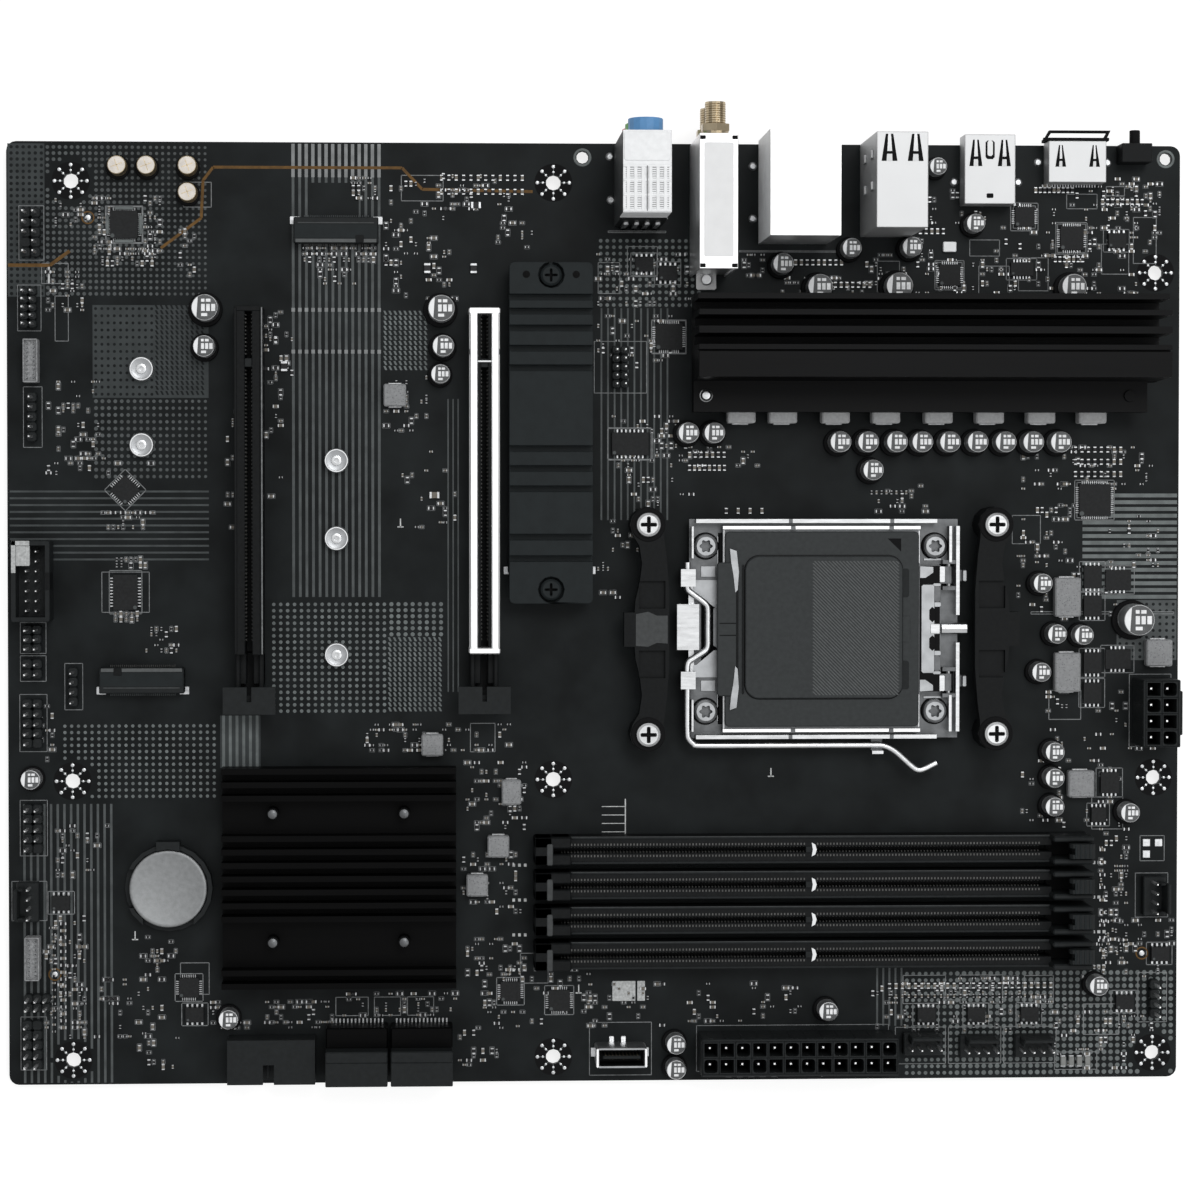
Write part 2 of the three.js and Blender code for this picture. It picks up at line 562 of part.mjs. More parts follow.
function displayPort() {
  let solid = cut(box(-7.5, 7.5, -10.2, 0.5, 0, 6.8), box(-7.0, 7.0, -8.6, 2, 1.2, 5.8));
  return join(solid, box(-5.8, 5.8, -9.0, -4.4, 2.9, 4.0));
}

// Rubber plug with a pull loop.
function displayPlug() {
  let solid = join(box(-6.7, 6.7, -3.6, 0.6, 1.5, 5.5), box(-8.2, 8.2, 0.5, 1.3, 0.6, 6.9));
  const loop = [[-8.9, 0.6], [-7.4, 3.2], [8.6, 3.2], [7.4, 0.6]];
  const hole = [[-8.0, 0.9], [-6.9, 2.5], [7.5, 2.5], [6.6, 0.9]];
  solid = join(solid, slab([...loop].reverse(), 5.7, 6.7).subtract(slab([...hole].reverse(), 5, 7)));
  return join(solid, box(-8.9, -7.9, 0.5, 1.3, 5.7, 6.7));
}

function buttonBody() {
  return cut(box(-3.95, 3.95, -4.9, 0, 0, 6.6), rodY(-3.0, 1, 0, 3.6, 1.7));
}

const buttonPlunger = () => rodY(-1.6, 3.6, 0, 3.6, 1.4);

// ---- coin cell
function cellHolder() {
  let solid = join(rod(0, 0, 0, 1.2, 11.4, 20), box(-3.0, 3.0, 9.0, 12.2, 0, 5.2));
  const wall = cut(rod(0, 0, 1.1, 3.8, 11.4, 20), rod(0, 0, 0, 6, 10.3, 20));
  solid = join(solid, wall);
  solid = cut(solid, box(-14, -4, -5, 5, 1.2, 6), box(-6.5, 6.5, -14, -8, 1.2, 6));
  return cut(solid, rod(0, 0, 1.2, 6, 10.3, 20));
}

const coinCell = () => join(rod(0, 0, 1.2, 2.1, 9.0, 20), rod(0, 0, 2.0, 4.4, 10.0, 20));

// ---- every piece in its place
put("circuit_board", circuitBoard(), "laminate", 0, 0, 0);
put("converter_heatsink", converterHeatsink(), "blackMetal");
put("chipset_heatsink", chipsetHeatsink(), "blackMetal");
put("module_heatsink", moduleHeatsink(), "blackMetal", MODULE_X);
[34.7, 115.4].forEach((d, i) => put(`module_screw_${i + 1}`, moduleScrew(), "steel", MODULE_X, d));

const [SX, SD] = SOCKET;
put("socket_body", socketBody(), "blackPlastic", SX, SD);
put("socket_frame", socketFrame(), "steel", SX, SD);
put("load_plate", loadPlate(), "steel", SX, SD);
put("load_lever", loadLever(), "steel", SX, SD);
put("socket_cover", socketCover(), "blackPlastic", SX, SD);
put("backplate", backplate(), "blackMetal", SX, SD, 0);
put("cooler_bracket_right", coolerBracket(), "blackPlastic", SX, SD);
put("cooler_bracket_left", coolerBracket(), "blackPlastic", SX, SD, TOP, 180);
let count = 0;
for (const sy of [-1, 1]) {
  for (const sx of [-1, 1]) {
    count += 1;
    put(`bracket_screw_${count}`, bracketScrew(), "steel", SX + sx * COOLER_X, SD + sy * COOLER_Y);
    put(`clamp_screw_${count}`, clampScrew(), "steel", SX + sx * CLAMP_X, SD + sy * CLAMP_Y);
  }
}

DIMM_D.forEach((d, i) => {
  put(`memory_slot_${i + 1}`, memorySlot(), "blackPlastic", DIMM_X, d);
  put(`memory_latch_${i + 1}`, memoryLatch(), "blackPlastic", DIMM_X, d);
});
CARD_SLOT_X.forEach((x, i) => {
  put(`expansion_slot_${i + 1}`, expansionSlot(), "blackPlastic", x, CARD_SLOT_D);
  put(`expansion_latch_${i + 1}`, expansionLatch(), "blackPlastic", x, CARD_SLOT_D);
});
put("slot_shield", slotShield(), "tin", CARD_SLOT_X[0], CARD_SLOT_D);

put("module_connector_1", moduleConnector(), "blackPlastic", LONG_MODULE_X, 19.6);
put("module_connector_2", moduleConnector(), "blackPlastic", SHORT_MODULE_X, 142.2, TOP, 180);
put("module_connector_3", moduleConnector(), "blackPlastic", MODULE_X, 111.2, TOP, 180);

put("board_power", powerHeader(12), "blackPlastic", 204.1, 235.9);
put("processor_power", powerHeader(4), "blackPlastic", 297.6, 147.5, TOP, 90);
put("storage_stack_1", storageStack(), "blackPlastic", 90.0, 228.2);
put("storage_stack_2", storageStack(), "blackPlastic", 106.7, 228.2);
put("panel_usb_header", panelUsbHeader(), "blackPlastic", 68.0, 231.2);
put("panel_usbc_header", panelUsbcHeader(), "steel", 158.3, 236.3);
put("box_header", boxHeader(), "blackPlastic", 6.9, 102.8);
put("fan_header_1", fanHeader(), "blackPlastic", 237.5, 234.4);

put("audio_jacks", audioJacks(), "greyPlastic", 162.8, 0);
put("wireless_box", wirelessBox(), "tin", 181.2, 0);
put("aerial_socket_1", aerialSocket(), "gold", 180.9, 0, TOP + 22.0);
put("aerial_socket_2", aerialSocket(), "gold", 180.9, 0, TOP + 8.5);
put("network_port", networkPort(), "tin", 203.2, 0);
put("usb_stack", usbStack(), "tin", 227.3, 0);
put("usb_port", usbPort(), "tin", 253.5, 0);
put("display_port", displayPort(), "tin", 276.4, 0);
put("display_plug", displayPlug(), "rubber", 276.4, 0);
put("button_body", buttonBody(), "blackPlastic", 292.0, 0);
put("button_plunger", buttonPlunger(), "blackPlastic", 292.0, 0);

put("cell_holder", cellHolder(), "blackPlastic", 41.4, 192.6);
put("coin_cell", coinCell(), "steel", 41.4, 192.6);

export default board;
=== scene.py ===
import json
import math
import random
import bpy
from mathutils import Matrix, Vector

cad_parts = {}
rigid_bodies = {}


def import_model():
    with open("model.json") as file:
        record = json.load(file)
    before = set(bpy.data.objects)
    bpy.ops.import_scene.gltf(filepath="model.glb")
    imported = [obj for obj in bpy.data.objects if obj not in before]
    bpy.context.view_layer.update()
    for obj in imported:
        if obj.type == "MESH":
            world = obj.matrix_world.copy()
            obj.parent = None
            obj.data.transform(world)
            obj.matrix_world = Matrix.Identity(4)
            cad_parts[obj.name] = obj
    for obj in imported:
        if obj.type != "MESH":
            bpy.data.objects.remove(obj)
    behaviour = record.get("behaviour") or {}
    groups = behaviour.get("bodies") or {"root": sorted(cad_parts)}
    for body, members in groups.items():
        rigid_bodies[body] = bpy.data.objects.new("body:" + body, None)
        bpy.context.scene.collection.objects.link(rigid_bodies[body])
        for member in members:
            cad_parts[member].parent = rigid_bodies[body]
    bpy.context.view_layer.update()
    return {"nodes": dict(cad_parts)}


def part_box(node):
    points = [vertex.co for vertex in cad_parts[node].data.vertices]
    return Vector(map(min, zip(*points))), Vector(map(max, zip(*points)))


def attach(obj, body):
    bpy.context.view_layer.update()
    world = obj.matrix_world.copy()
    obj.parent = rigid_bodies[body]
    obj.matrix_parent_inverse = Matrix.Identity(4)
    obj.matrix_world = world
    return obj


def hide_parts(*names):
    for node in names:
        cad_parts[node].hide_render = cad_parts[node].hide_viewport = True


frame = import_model()

# places on the board, in millimetres: x from its left edge, d from its rear edge, z above its top face
MM = 0.001
board_low, board_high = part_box("circuit_board")
LEFT, REAR = board_low.x, board_high.y
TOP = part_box("socket_body")[0].z
PAD_REACH = 5.6     # how far the pads round a screw hole reach
SLACK = 1e-5        # metres by which a face may miss its paint box
THICK = 1.6         # of the bare board
TENTH = 2.54        # a tenth of an inch, the usual pin spacing
SEED = random.Random(7)


# ---------------------------------------------------------------- materials
def material(name, colour, rough, metal=0.0, spec=0.3, grain=60.0, vary=0.15, bump=0.05,
             stretch=(1, 1, 1), rough_vary=0.1, speck=None):
    """Surface with colour mottle, roughness change and fine bump, all from noise in object space."""
    mat = bpy.data.materials.new(name)
    mat.use_nodes = True
    nodes, links = mat.node_tree.nodes, mat.node_tree.links
    shader = nodes["Principled BSDF"]
    shader.inputs["Metallic"].default_value = metal
    shader.inputs["Specular IOR Level"].default_value = spec
    coords = nodes.new("ShaderNodeTexCoord")
    mapping = nodes.new("ShaderNodeMapping")
    mapping.inputs["Scale"].default_value = [s * 100.0 for s in stretch]
    links.new(coords.outputs["Object"], mapping.inputs["Vector"])

    def texture(kind, scale, **values):
        node = nodes.new(kind)
        node.inputs["Scale"].default_value = scale
        for socket, value in values.items():
            node.inputs[socket].default_value = value
        links.new(mapping.outputs["Vector"], node.inputs["Vector"])
        return node

    def ramp(source, *stops):
        node = nodes.new("ShaderNodeValToRGB")
        for element, (place, tone) in zip(node.color_ramp.elements, stops):
            element.position, element.color = place, (*tone, 1)
        links.new(source, node.inputs["Fac"])
        return node.outputs["Color"]

    noise = texture("ShaderNodeTexNoise", grain / 10.0, Detail=5.0)
    tint = ramp(noise.outputs["Fac"], (0.3, [c * (1 - vary) for c in colour]),
                (0.7, [min(1.0, c * (1 + vary)) for c in colour]))
    if speck:
        cells = texture("ShaderNodeTexVoronoi", speck[1])
        mix = nodes.new("ShaderNodeMix")
        mix.data_type = "RGBA"
        mix.inputs["B"].default_value = (*speck[0], 1)
        links.new(ramp(cells.outputs["Distance"], (0.1, (1, 1, 1)), (0.35, (0, 0, 0))), mix.inputs["Factor"])
        links.new(tint, mix.inputs["A"])
        tint = mix.outputs["Result"]
    links.new(tint, shader.inputs["Base Color"])
    span = nodes.new("ShaderNodeMapRange")
    span.inputs["To Min"].default_value = max(0.02, rough - rough_vary)
    span.inputs["To Max"].default_value = min(1.0, rough + rough_vary)
    links.new(noise.outputs["Fac"], span.inputs["Value"])
    links.new(span.outputs["Result"], shader.inputs["Roughness"])
    relief = nodes.new("ShaderNodeBump")
    relief.inputs["Strength"].default_value = bump
    relief.inputs["Distance"].default_value = 0.0001
    links.new(texture("ShaderNodeTexNoise", grain / 2.5, Detail=3.0).outputs["Fac"], relief.inputs["Height"])
    links.new(relief.outputs["Normal"], shader.inputs["Normal"])
    return mat


MASK = material("solder_mask", (0.0082, 0.0098, 0.0103), 0.45, spec=0.07, grain=9, vary=0.35, bump=0.04)
PATCH = material("mask_over_plane", (0.034, 0.039, 0.040), 0.45, spec=0.1, grain=30, vary=0.15)
TRACE = material("mask_over_copper", (0.105, 0.118, 0.118), 0.42, spec=0.2, grain=30, vary=0.25)
TRACE_DIM = material("mask_over_copper_dim", (0.060, 0.067, 0.068), 0.42, spec=0.15, grain=30, vary=0.2)
TRACE_LOW = material("mask_over_copper_low", (0.046, 0.052, 0.053), 0.42, spec=0.12, grain=30, vary=0.2)
TRACE_HOT = material("tinned_strips", (0.17, 0.178, 0.18), 0.42, spec=0.3, grain=30, vary=0.25)
SILK = material("legend_ink", (0.42, 0.43, 0.43), 0.65, spec=0.1, grain=80, vary=0.25)
DIM_PALE = material("dim_pale_grey", (0.165, 0.172, 0.175), 0.6, spec=0.1, grain=80, vary=0.3)
AMBER = material("bare_divide_line", (0.098, 0.050, 0.012), 0.5, spec=0.15, grain=50, vary=0.3)
BRIGHT_METAL = material("bright_metal", (0.90, 0.905, 0.91), 0.34, metal=1.0, grain=20, vary=0.02, rough_vary=0.05)
TIN_SOFT = material("satin_tin", (0.50, 0.505, 0.51), 0.55, metal=1.0, grain=20, vary=0.03, rough_vary=0.05)
SOLDER = material("solder", (0.52, 0.53, 0.54), 0.4, metal=1.0, grain=90, vary=0.2, bump=0.2)
STEEL = material("nickel_steel", (0.62, 0.63, 0.64), 0.3, metal=1.0, grain=24, vary=0.08, bump=0.05,
                 stretch=(1, 6, 1))
# steel in a mid grey, between the bright steel and the shaded steel
STEEL_MID = material("mid_grey_steel", (0.34, 0.35, 0.36), 0.42, metal=1.0, grain=30, vary=0.15, bump=0.12)
STEEL_DARK = material("shaded_steel", (0.115, 0.119, 0.123), 0.42, metal=1.0, grain=40, vary=0.2, bump=0.2)
# darker copy of the steel, given to the left sides of the metal port shields: painted shade on those sides
STEEL_SHADE = material("steel_in_painted_shade", (0.036, 0.037, 0.039), 0.42, metal=1.0, grain=40, vary=0.2,
                       bump=0.2)
GOLD = material("gold_plate", (0.46, 0.38, 0.26), 0.3, metal=1.0, grain=40, vary=0.12)
# dim colour for contacts and leads deep in slots and connector mouths: painted shade in place of their bright
# plating
CONTACT = material("contacts_in_painted_shade", (0.075, 0.075, 0.072), 0.45, metal=0.6, spec=0.2, grain=40, vary=0.3)
ANODISED = material("black_anodised", (0.0018, 0.0019, 0.0022), 0.42, spec=0.085, grain=30, vary=0.3,
                    bump=0.12, stretch=(0.12, 3, 3))
DEEP_BLACK = material("deepest_black", (0.0008, 0.0008, 0.0009), 0.42, spec=0.055, grain=30, vary=0.3,
                      bump=0.12, stretch=(0.12, 3, 3))
ANODISED_GREY = material("grey_anodised", (0.0125, 0.0155, 0.0165), 0.5, spec=0.09, grain=40, vary=0.12,
                         bump=0.12)
PLASTIC = material("black_nylon", (0.0055, 0.0062, 0.0066), 0.48, spec=0.09, grain=120, vary=0.25, bump=0.2)
PLASTIC_SOFT = material("black_moulding", (0.0115, 0.0132, 0.0138), 0.5, spec=0.11, grain=90, vary=0.15,
                        bump=0.18)
PLASTIC_LIGHT = material("lighter_grey", (0.044, 0.047, 0.048), 0.5, spec=0.15, grain=90, vary=0.15,
                         bump=0.18)
DARK_MOULDING = material("dark_grey_moulding", (0.029, 0.032, 0.033), 0.52, spec=0.12, grain=90, vary=0.12, bump=0.18)
PACKAGE = material("chip_package", (0.0125, 0.0132, 0.0138), 0.55, spec=0.12, grain=150, vary=0.25,
                   bump=0.25)
CAN = material("capacitor_can", (0.66, 0.67, 0.68), 0.42, metal=1.0, grain=60, vary=0.08)
CAN_TOP = material("capacitor_top", (0.072, 0.075, 0.077), 0.5, spec=0.3, grain=70, vary=0.15)
# paler grey for ridge lines and edge strips: painted highlight
HIGHLIGHT_GREY = material("painted_highlight_grey", (0.075, 0.08, 0.081), 0.5, spec=0.15, grain=90, vary=0.12)
CAN_WARM = material("warm_capacitor_can", (0.52, 0.42, 0.27), 0.38, metal=1.0, grain=60, vary=0.15)
CREAM = material("warm_capacitor_top", (0.60, 0.56, 0.51), 0.45, spec=0.3, grain=50, vary=0.12)
CRESCENT = material("capacitor_mark", (0.72, 0.73, 0.74), 0.5, spec=0.2, grain=60, vary=0.06)
CAN_INK = material("capacitor_ink", (0.70, 0.71, 0.72), 0.5, spec=0.2, grain=80)
FERRITE_PALE = material("pale_choke_ferrite", (0.33, 0.335, 0.34), 0.5, spec=0.25, grain=160, vary=0.12,
                        bump=0.3)
FERRITE = material("choke_ferrite", (0.20, 0.205, 0.21), 0.55, spec=0.25, grain=160, vary=0.12, bump=0.3,
                   speck=((0.10, 0.105, 0.11), 16.0))
CERAMIC = material("ceramic_chip", (0.12, 0.108, 0.09), 0.5, spec=0.3, grain=90, vary=0.25)
RESISTOR = material("resistor_body", (0.012, 0.012, 0.013), 0.45, spec=0.2, grain=90, vary=0.2)
PALE_GREY = material("pale_grey", (0.72, 0.73, 0.74), 0.5, spec=0.3, grain=70, vary=0.05, bump=0.12)
HOUSING_GREY = material("speckled_housing", (0.21, 0.215, 0.22), 0.55, spec=0.2, grain=160, vary=0.35,
                        bump=0.2)
BLUE = material("light_blue_jack", (0.085, 0.22, 0.42), 0.42, spec=0.3, grain=60, vary=0.08)
GREEN = material("green_jack", (0.12, 0.33, 0.09), 0.42, spec=0.3, grain=60, vary=0.08)
PINK = material("pink_jack", (0.52, 0.14, 0.20), 0.42, spec=0.3, grain=60, vary=0.08)
MATTE_BLACK = material("rubber", (0.0045, 0.0046, 0.005), 0.7, spec=0.08, grain=90, vary=0.2, bump=0.3)
LABEL = material("white_label", (0.66, 0.665, 0.67), 0.5, spec=0.2, grain=30, vary=0.03)
LABEL_GREY = material("grey_label", (0.36, 0.37, 0.37), 0.5, spec=0.2, grain=160, vary=0.25)
CELL = material("cell_steel", (0.25, 0.258, 0.262), 0.55, metal=1.0, grain=90, vary=0.12, bump=0.25,
                rough_vary=0.08)
LAMP = material("lamp_lens", (0.16, 0.165, 0.16), 0.4, spec=0.3, grain=60, vary=0.15)

# ---------------------------------------------------------------- mesh building, in millimetres
OPEN, TOPPED, FOOTED = (False, False), (False, True), (True, False)     # which ends of a loft are closed
AXES = {     # across, along and outward axes of a loft
    "up": ((1, 0, 0), (0, 1, 0), (0, 0, 1)),
    "down": ((1, 0, 0), (0, -1, 0), (0, 0, -1)),
    "rear": ((-1, 0, 0), (0, 0, 1), (0, 1, 0)),
    "front": ((1, 0, 0), (0, 0, 1), (0, -1, 0)),
}


def rect(hx, hy=None, r=0.2, cx=0.0, cy=0.0, n=2):
    """Outline of a rounded rectangle, as a function of how far it is drawn in."""
    hy = hx if hy is None else hy

    def outline(inset):
        a, b = hx - inset, hy - inset
        q = min(max(r - inset, 0.02), a * 0.98, b * 0.98)
        pts = []
        for sx, sy, start in ((1, -1, -90), (1, 1, 0), (-1, 1, 90), (-1, -1, 180)):
            for i in range(n + 1):
                t = math.radians(start + 90 * i / n)
                pts.append((cx + sx * (a - q) + q * math.cos(t), cy + sy * (b - q) + q * math.sin(t)))
        return pts
    return outline


def ring(r, n=24, cx=0.0, cy=0.0):
    """Outline of a circle of n points."""
    return lambda inset: [(cx + (r - inset) * math.cos(2 * math.pi * i / n),
                           cy + (r - inset) * math.sin(2 * math.pi * i / n)) for i in range(n)]


def shape(points):
    """Outline that keeps its size."""
    return lambda inset: points


def skin(rows, n):
    """Quads that join each ring of n points to the next one."""
    return [[k * n + i, k * n + (i + 1) % n, (k + 1) * n + (i + 1) % n, (k + 1) * n + i]
            for k in range(rows - 1) for i in range(n)]


class Piece:
    """Gathers faces in the board's millimetres: x from the left edge, y minus the distance from the rear."""

    def __init__(self, name):
        self.name, self.verts, self.faces, self.ids, self.mats = name, [], [], [], []
        self.at(0, 0)

    def at(self, x, d, z=0.0, turn=0.0):
        """Sets the origin and turn for what is added next."""
        self.frame = Matrix.Translation((x, -d, z)) @ Matrix.Rotation(math.radians(turn), 4, "Z")
        return self

    def add(self, points, faces, mat):
        if mat not in self.mats:
            self.mats.append(mat)
        base, slot = len(self.verts), self.mats.index(mat)
        self.verts += [self.frame @ Vector(p) for p in points]
        self.faces += [[base + i for i in f] for f in faces]
        self.ids += [slot] * len(faces)

    def loft(self, outline, levels, mat, way="up", at=(0, 0, 0), ends=(True, True)):
        """Outline carried through (height, inset) levels along one of the AXES."""
        u, v, w = (Vector(a) for a in AXES[way])
        origin = Vector(at)
        n = len(outline(levels[0][1]))
        points = [origin + u * a + v * b + w * height for height, inset in levels for a, b in outline(inset)]
        faces = skin(len(levels), n)
        if ends[0]:
            faces.append(list(range(n))[::-1])
        if ends[1]:
            faces.append([(len(levels) - 1) * n + i for i in range(n)])
        self.add(points, faces, mat)
        return self

    def block(self, x0, x1, y0, y1, z0, z1, mat, r=0.15, top=0.12):
        """Block with rounded corners and a softened top edge."""
        outline = rect((x1 - x0) / 2, (y1 - y0) / 2, r, (x0 + x1) / 2, (y0 + y1) / 2, 1)
        return self.loft(outline, [(z0, 0), (z1 - top, 0), (z1, top)], mat)

    def blocks(self, mat, *rows, both=""):
        """Blocks of one finish, each with its mirror image over x or y where both names it."""
        for x0, x1, y0, y1, z0, z1, *soft in rows:
            self.block(x0, x1, y0, y1, z0, z1, mat, *soft)
            if both == "x":
                self.block(-x1, -x0, y0, y1, z0, z1, mat, *soft)
            elif both == "y":
                self.block(x0, x1, -y1, -y0, z0, z1, mat, *soft)
        return self

    def slabs(self, points, levels, mat):
        """Plate of any outline and its mirror image over y."""
        for side in (-1, 1):
            self.loft(shape([(x, side * y) for x, y in points]), levels, mat)

    def tile(self, x0, x1, y0, y1, z, mat, lift=0.02):
        """Thin printed or plated patch."""
        pts = [(x0, y0, z + lift), (x1, y0, z + lift), (x1, y1, z + lift), (x0, y1, z + lift)]
        self.add(pts, [[0, 1, 2, 3]], mat)
        return self

    def wire(self, path, r, mat, sides):
        """Round wire through the points."""
        pts = [Vector(p) for p in path]
        up = Vector((0.13, 0.21, 0.97))
        points = []
        for i, p in enumerate(pts):
            along = (pts[min(i + 1, len(pts) - 1)] - pts[max(i - 1, 0)]).normalized()
            side = along.cross(up).normalized()
            up = side.cross(along).normalized()
            points += [p + (side * math.cos(t) + up * math.sin(t)) * r
                       for t in (2 * math.pi * k / sides for k in range(sides))]
        caps = [list(range(sides)), list(range(len(points) - sides, len(points)))[::-1]]
        self.add(points, [f[::-1] for f in skin(len(pts), sides)] + caps, mat)

    def done(self, body="board", replaces=(), slot=None, crease=32):
        """Makes the mesh object, on its body and in place of the CAD nodes it replaces."""
        data = bpy.data.meshes.new(self.name)
        place = Vector((LEFT, REAR, TOP))
        data.from_pydata([place + v * MM for v in self.verts], [], self.faces)
        for mat in self.mats:
            data.materials.append(mat)
        data.polygons.foreach_set("material_index", self.ids)
        data.polygons.foreach_set("use_smooth", [True] * len(self.faces))
        data.set_sharp_from_angle(angle=math.radians(crease))
        data.validate()
        obj = bpy.data.objects.new(self.name, data)
        bpy.context.scene.collection.objects.link(obj)
        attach(obj, body)
        if replaces:
            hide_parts(*replaces)
        return obj


def smooth_path(points, per=6):
    """Points of a rounded curve through the given ones."""
    pts = [Vector(p) for p in points]
    out = []
    for i in range(len(pts) - 1):
        a, b = pts[max(i - 1, 0)], pts[i]
        c, d = pts[i + 1], pts[min(i + 2, len(pts) - 1)]
        m0, m1 = (c - a) * 0.4, (d - b) * 0.4
        steps = max(2, min(per, int((c - b).length / 0.25)))
        for k in range(steps):
            t = k / steps
            h = (2 * t**3 - 3 * t**2 + 1, t**3 - 2 * t**2 + t, -2 * t**3 + 3 * t**2, t**3 - t**2)
            out.append(b * h[0] + m0 * h[1] + c * h[2] + m1 * h[3])
    return out + [pts[-1]]


def finish_node(node, mat, bevel):
    """A CAD node that stays: its own finish and softened edges."""
    obj = frame["nodes"][node]
    obj.data.materials.clear()
    obj.data.materials.append(mat)
    if bevel:
        merge = obj.modifiers.new("merge", "WELD")
        merge.merge_threshold = SLACK
        planar = obj.modifiers.new("planar", "DECIMATE")
        planar.decimate_type = "DISSOLVE"
        planar.angle_limit = math.radians(2)
        edge = obj.modifiers.new("edges", "BEVEL")
        edge.width, edge.segments, edge.limit_method = bevel * MM, 2, "ANGLE"
        edge.angle_limit = math.radians(40)


def paint(node, x, d, *rows):
    """Gives the faces of a CAD node that lie wholly inside a box round (x, d) the box's finish."""
    data = frame["nodes"][node].data
    origin = Vector((LEFT + x * MM, REAR - d * MM, TOP))
    for mat, x0, x1, y0, y1, z0, z1 in rows:
        data.materials.append(mat)
        low, high = origin + Vector((x0, y0, z0)) * MM, origin + Vector((x1, y1, z1)) * MM
        for poly in data.polygons:
            corners = [data.vertices[i].co for i in poly.vertices]
            if all(low[k] - SLACK <= c[k] <= high[k] + SLACK for c in corners for k in range(3)):
                poly.material_index = len(data.materials) - 1


# ---------------------------------------------------------------- CAD pieces that show as they are
for finish, bevel, *names in (
    (MASK, 0.0, "circuit_board"), (ANODISED, 0.3, "converter_heatsink"),
    (DEEP_BLACK, 0.25, "chipset_heatsink"), (ANODISED_GREY, 0.3, "module_heatsink"),
    (ANODISED_GREY, 0.25, "backplate"), (PLASTIC, 0.1, "socket_body"),
    (STEEL_DARK, 0.14, "socket_frame"), (STEEL_DARK, 0.12, "load_plate"),
    (PLASTIC, 0.5, "cooler_bracket_right", "cooler_bracket_left"), (PLASTIC, 0.2, "button_body"),
    (PLASTIC_SOFT, 0.2, "panel_usb_header", "cell_holder", *(f"memory_latch_{k}" for k in range(1, 5))),
    (PLASTIC_SOFT, 0.25, "expansion_latch_1", "expansion_latch_2"), (PALE_GREY, 0.25, "audio_jacks"),
    (BRIGHT_METAL, 0.2, "network_port", "wireless_box"), (TIN_SOFT, 0.2, "usb_stack", "usb_port", "display_port"),
    (MATTE_BLACK, 0.15, "display_plug"), (MATTE_BLACK, 0.25, "button_plunger"),
    (GOLD, 0.12, "aerial_socket_1", "aerial_socket_2"),
):
    for name in names:
        finish_node(name, finish, bevel)
SX, SD = 210.0, 125.7     # middle of the processor socket
# the load plate's side walls get the bright metal: painted highlight; on plate and frame the shaded steel
# stays as painted shade, and the frame's walls and rails keep the nickel steel
paint("load_plate", SX, SD,
      (BRIGHT_METAL, -25.8, 25.8, 25.7, 26.7, 7.25, 8.2), (BRIGHT_METAL, -25.8, 25.8, -26.7, -25.7, 7.25, 8.2))
paint("socket_frame", SX, SD,
      (STEEL, -32.7, 30.2, 27.3, 28.5, 4.3, 7.8), (STEEL, -32.7, 30.2, -28.5, -27.3, 4.3, 7.8),
      (STEEL, 34.9, 36.0, -26.8, 26.8, 4.3, 7.6), (STEEL, 33.1, 34.0, -26.8, 26.8, 4.3, 7.6),
      (STEEL, -33.7, -33.0, -26.7, 26.7, 4.3, 7.4), (STEEL, -37.5, -31.5, -5.6, 6.6, 4.3, 6.6),
      (STEEL, 31.3, 38.2, -1.6, 1.6, 4.0, 7.4), (STEEL, -36.6, -32.4, -15.7, 15.7, 4.3, 7.8),
      (STEEL, 13.1, 16.4, -32.6, -31.4, 4.7, 7.4))
paint("network_port", 203.2, 0,
      (PLASTIC, -5.95, 5.95, -14.6, 0.3, 1.7, 25.7), (PLASTIC, -6.15, 6.15, -14.6, 0.3, 1.7, 13.7),
      # the last box gives the left side of the tin shield a pale grey in place of the tin: painted shading of
      # that side
      (PALE_GREY, -9.5, -8.3, -28, 2, 0, 29))
# the usb stack's left side gets the darker steel copy: painted shade on that side
paint("usb_stack", 227.3, 0,
      (STEEL_SHADE, -8.0, -6.2, -28, 2, 0, 29.4), (PLASTIC, -6.15, 6.15, -14.6, -0.4, 1.5, 28.1))
paint("usb_port", 253.5, 0, (PLASTIC, -6.15, 6.15, -12.6, 1.4, 1.2, 6.2))
paint("display_port", 276.4, 0, (PLASTIC, -7.05, 7.05, -9.1, -4.0, 1.1, 5.9))
paint("audio_jacks", 162.8, 0,
      (PINK, -4.5, 4.5, -12.1, 3.1, 2.1, 11.1), (GREEN, -4.5, 4.5, -12.1, 3.1, 13.1, 22.1),
      # the thin box at x -6.3 to -5.9 gives the housing's left side the dark grey moulding: painted shade on
      # that side
      (BLUE, -4.5, 4.5, -12.1, 3.1, 24.1, 33.1), (DARK_MOULDING, -6.3, -5.9, -22, 0, -1, 36),
      (PLASTIC, -6.3, 6.3, -22, -20.9, -1, 22.6))
# the wireless box's left side gets the darker steel copy: painted shade on that side
paint("wireless_box", 181.2, 0, (STEEL_SHADE, -6.0, -4.3, -40, 0, 0, 28.6))

# ---------------------------------------------------------------- bare board
HOLES = [(16.51, 10.16), (140.97, 10.16), (298.45, 33.02), (16.51, 165.1), (140.97, 165.1),
         (298.45, 165.1), (16.51, 237.49), (140.97, 237.49), (298.45, 237.49)]

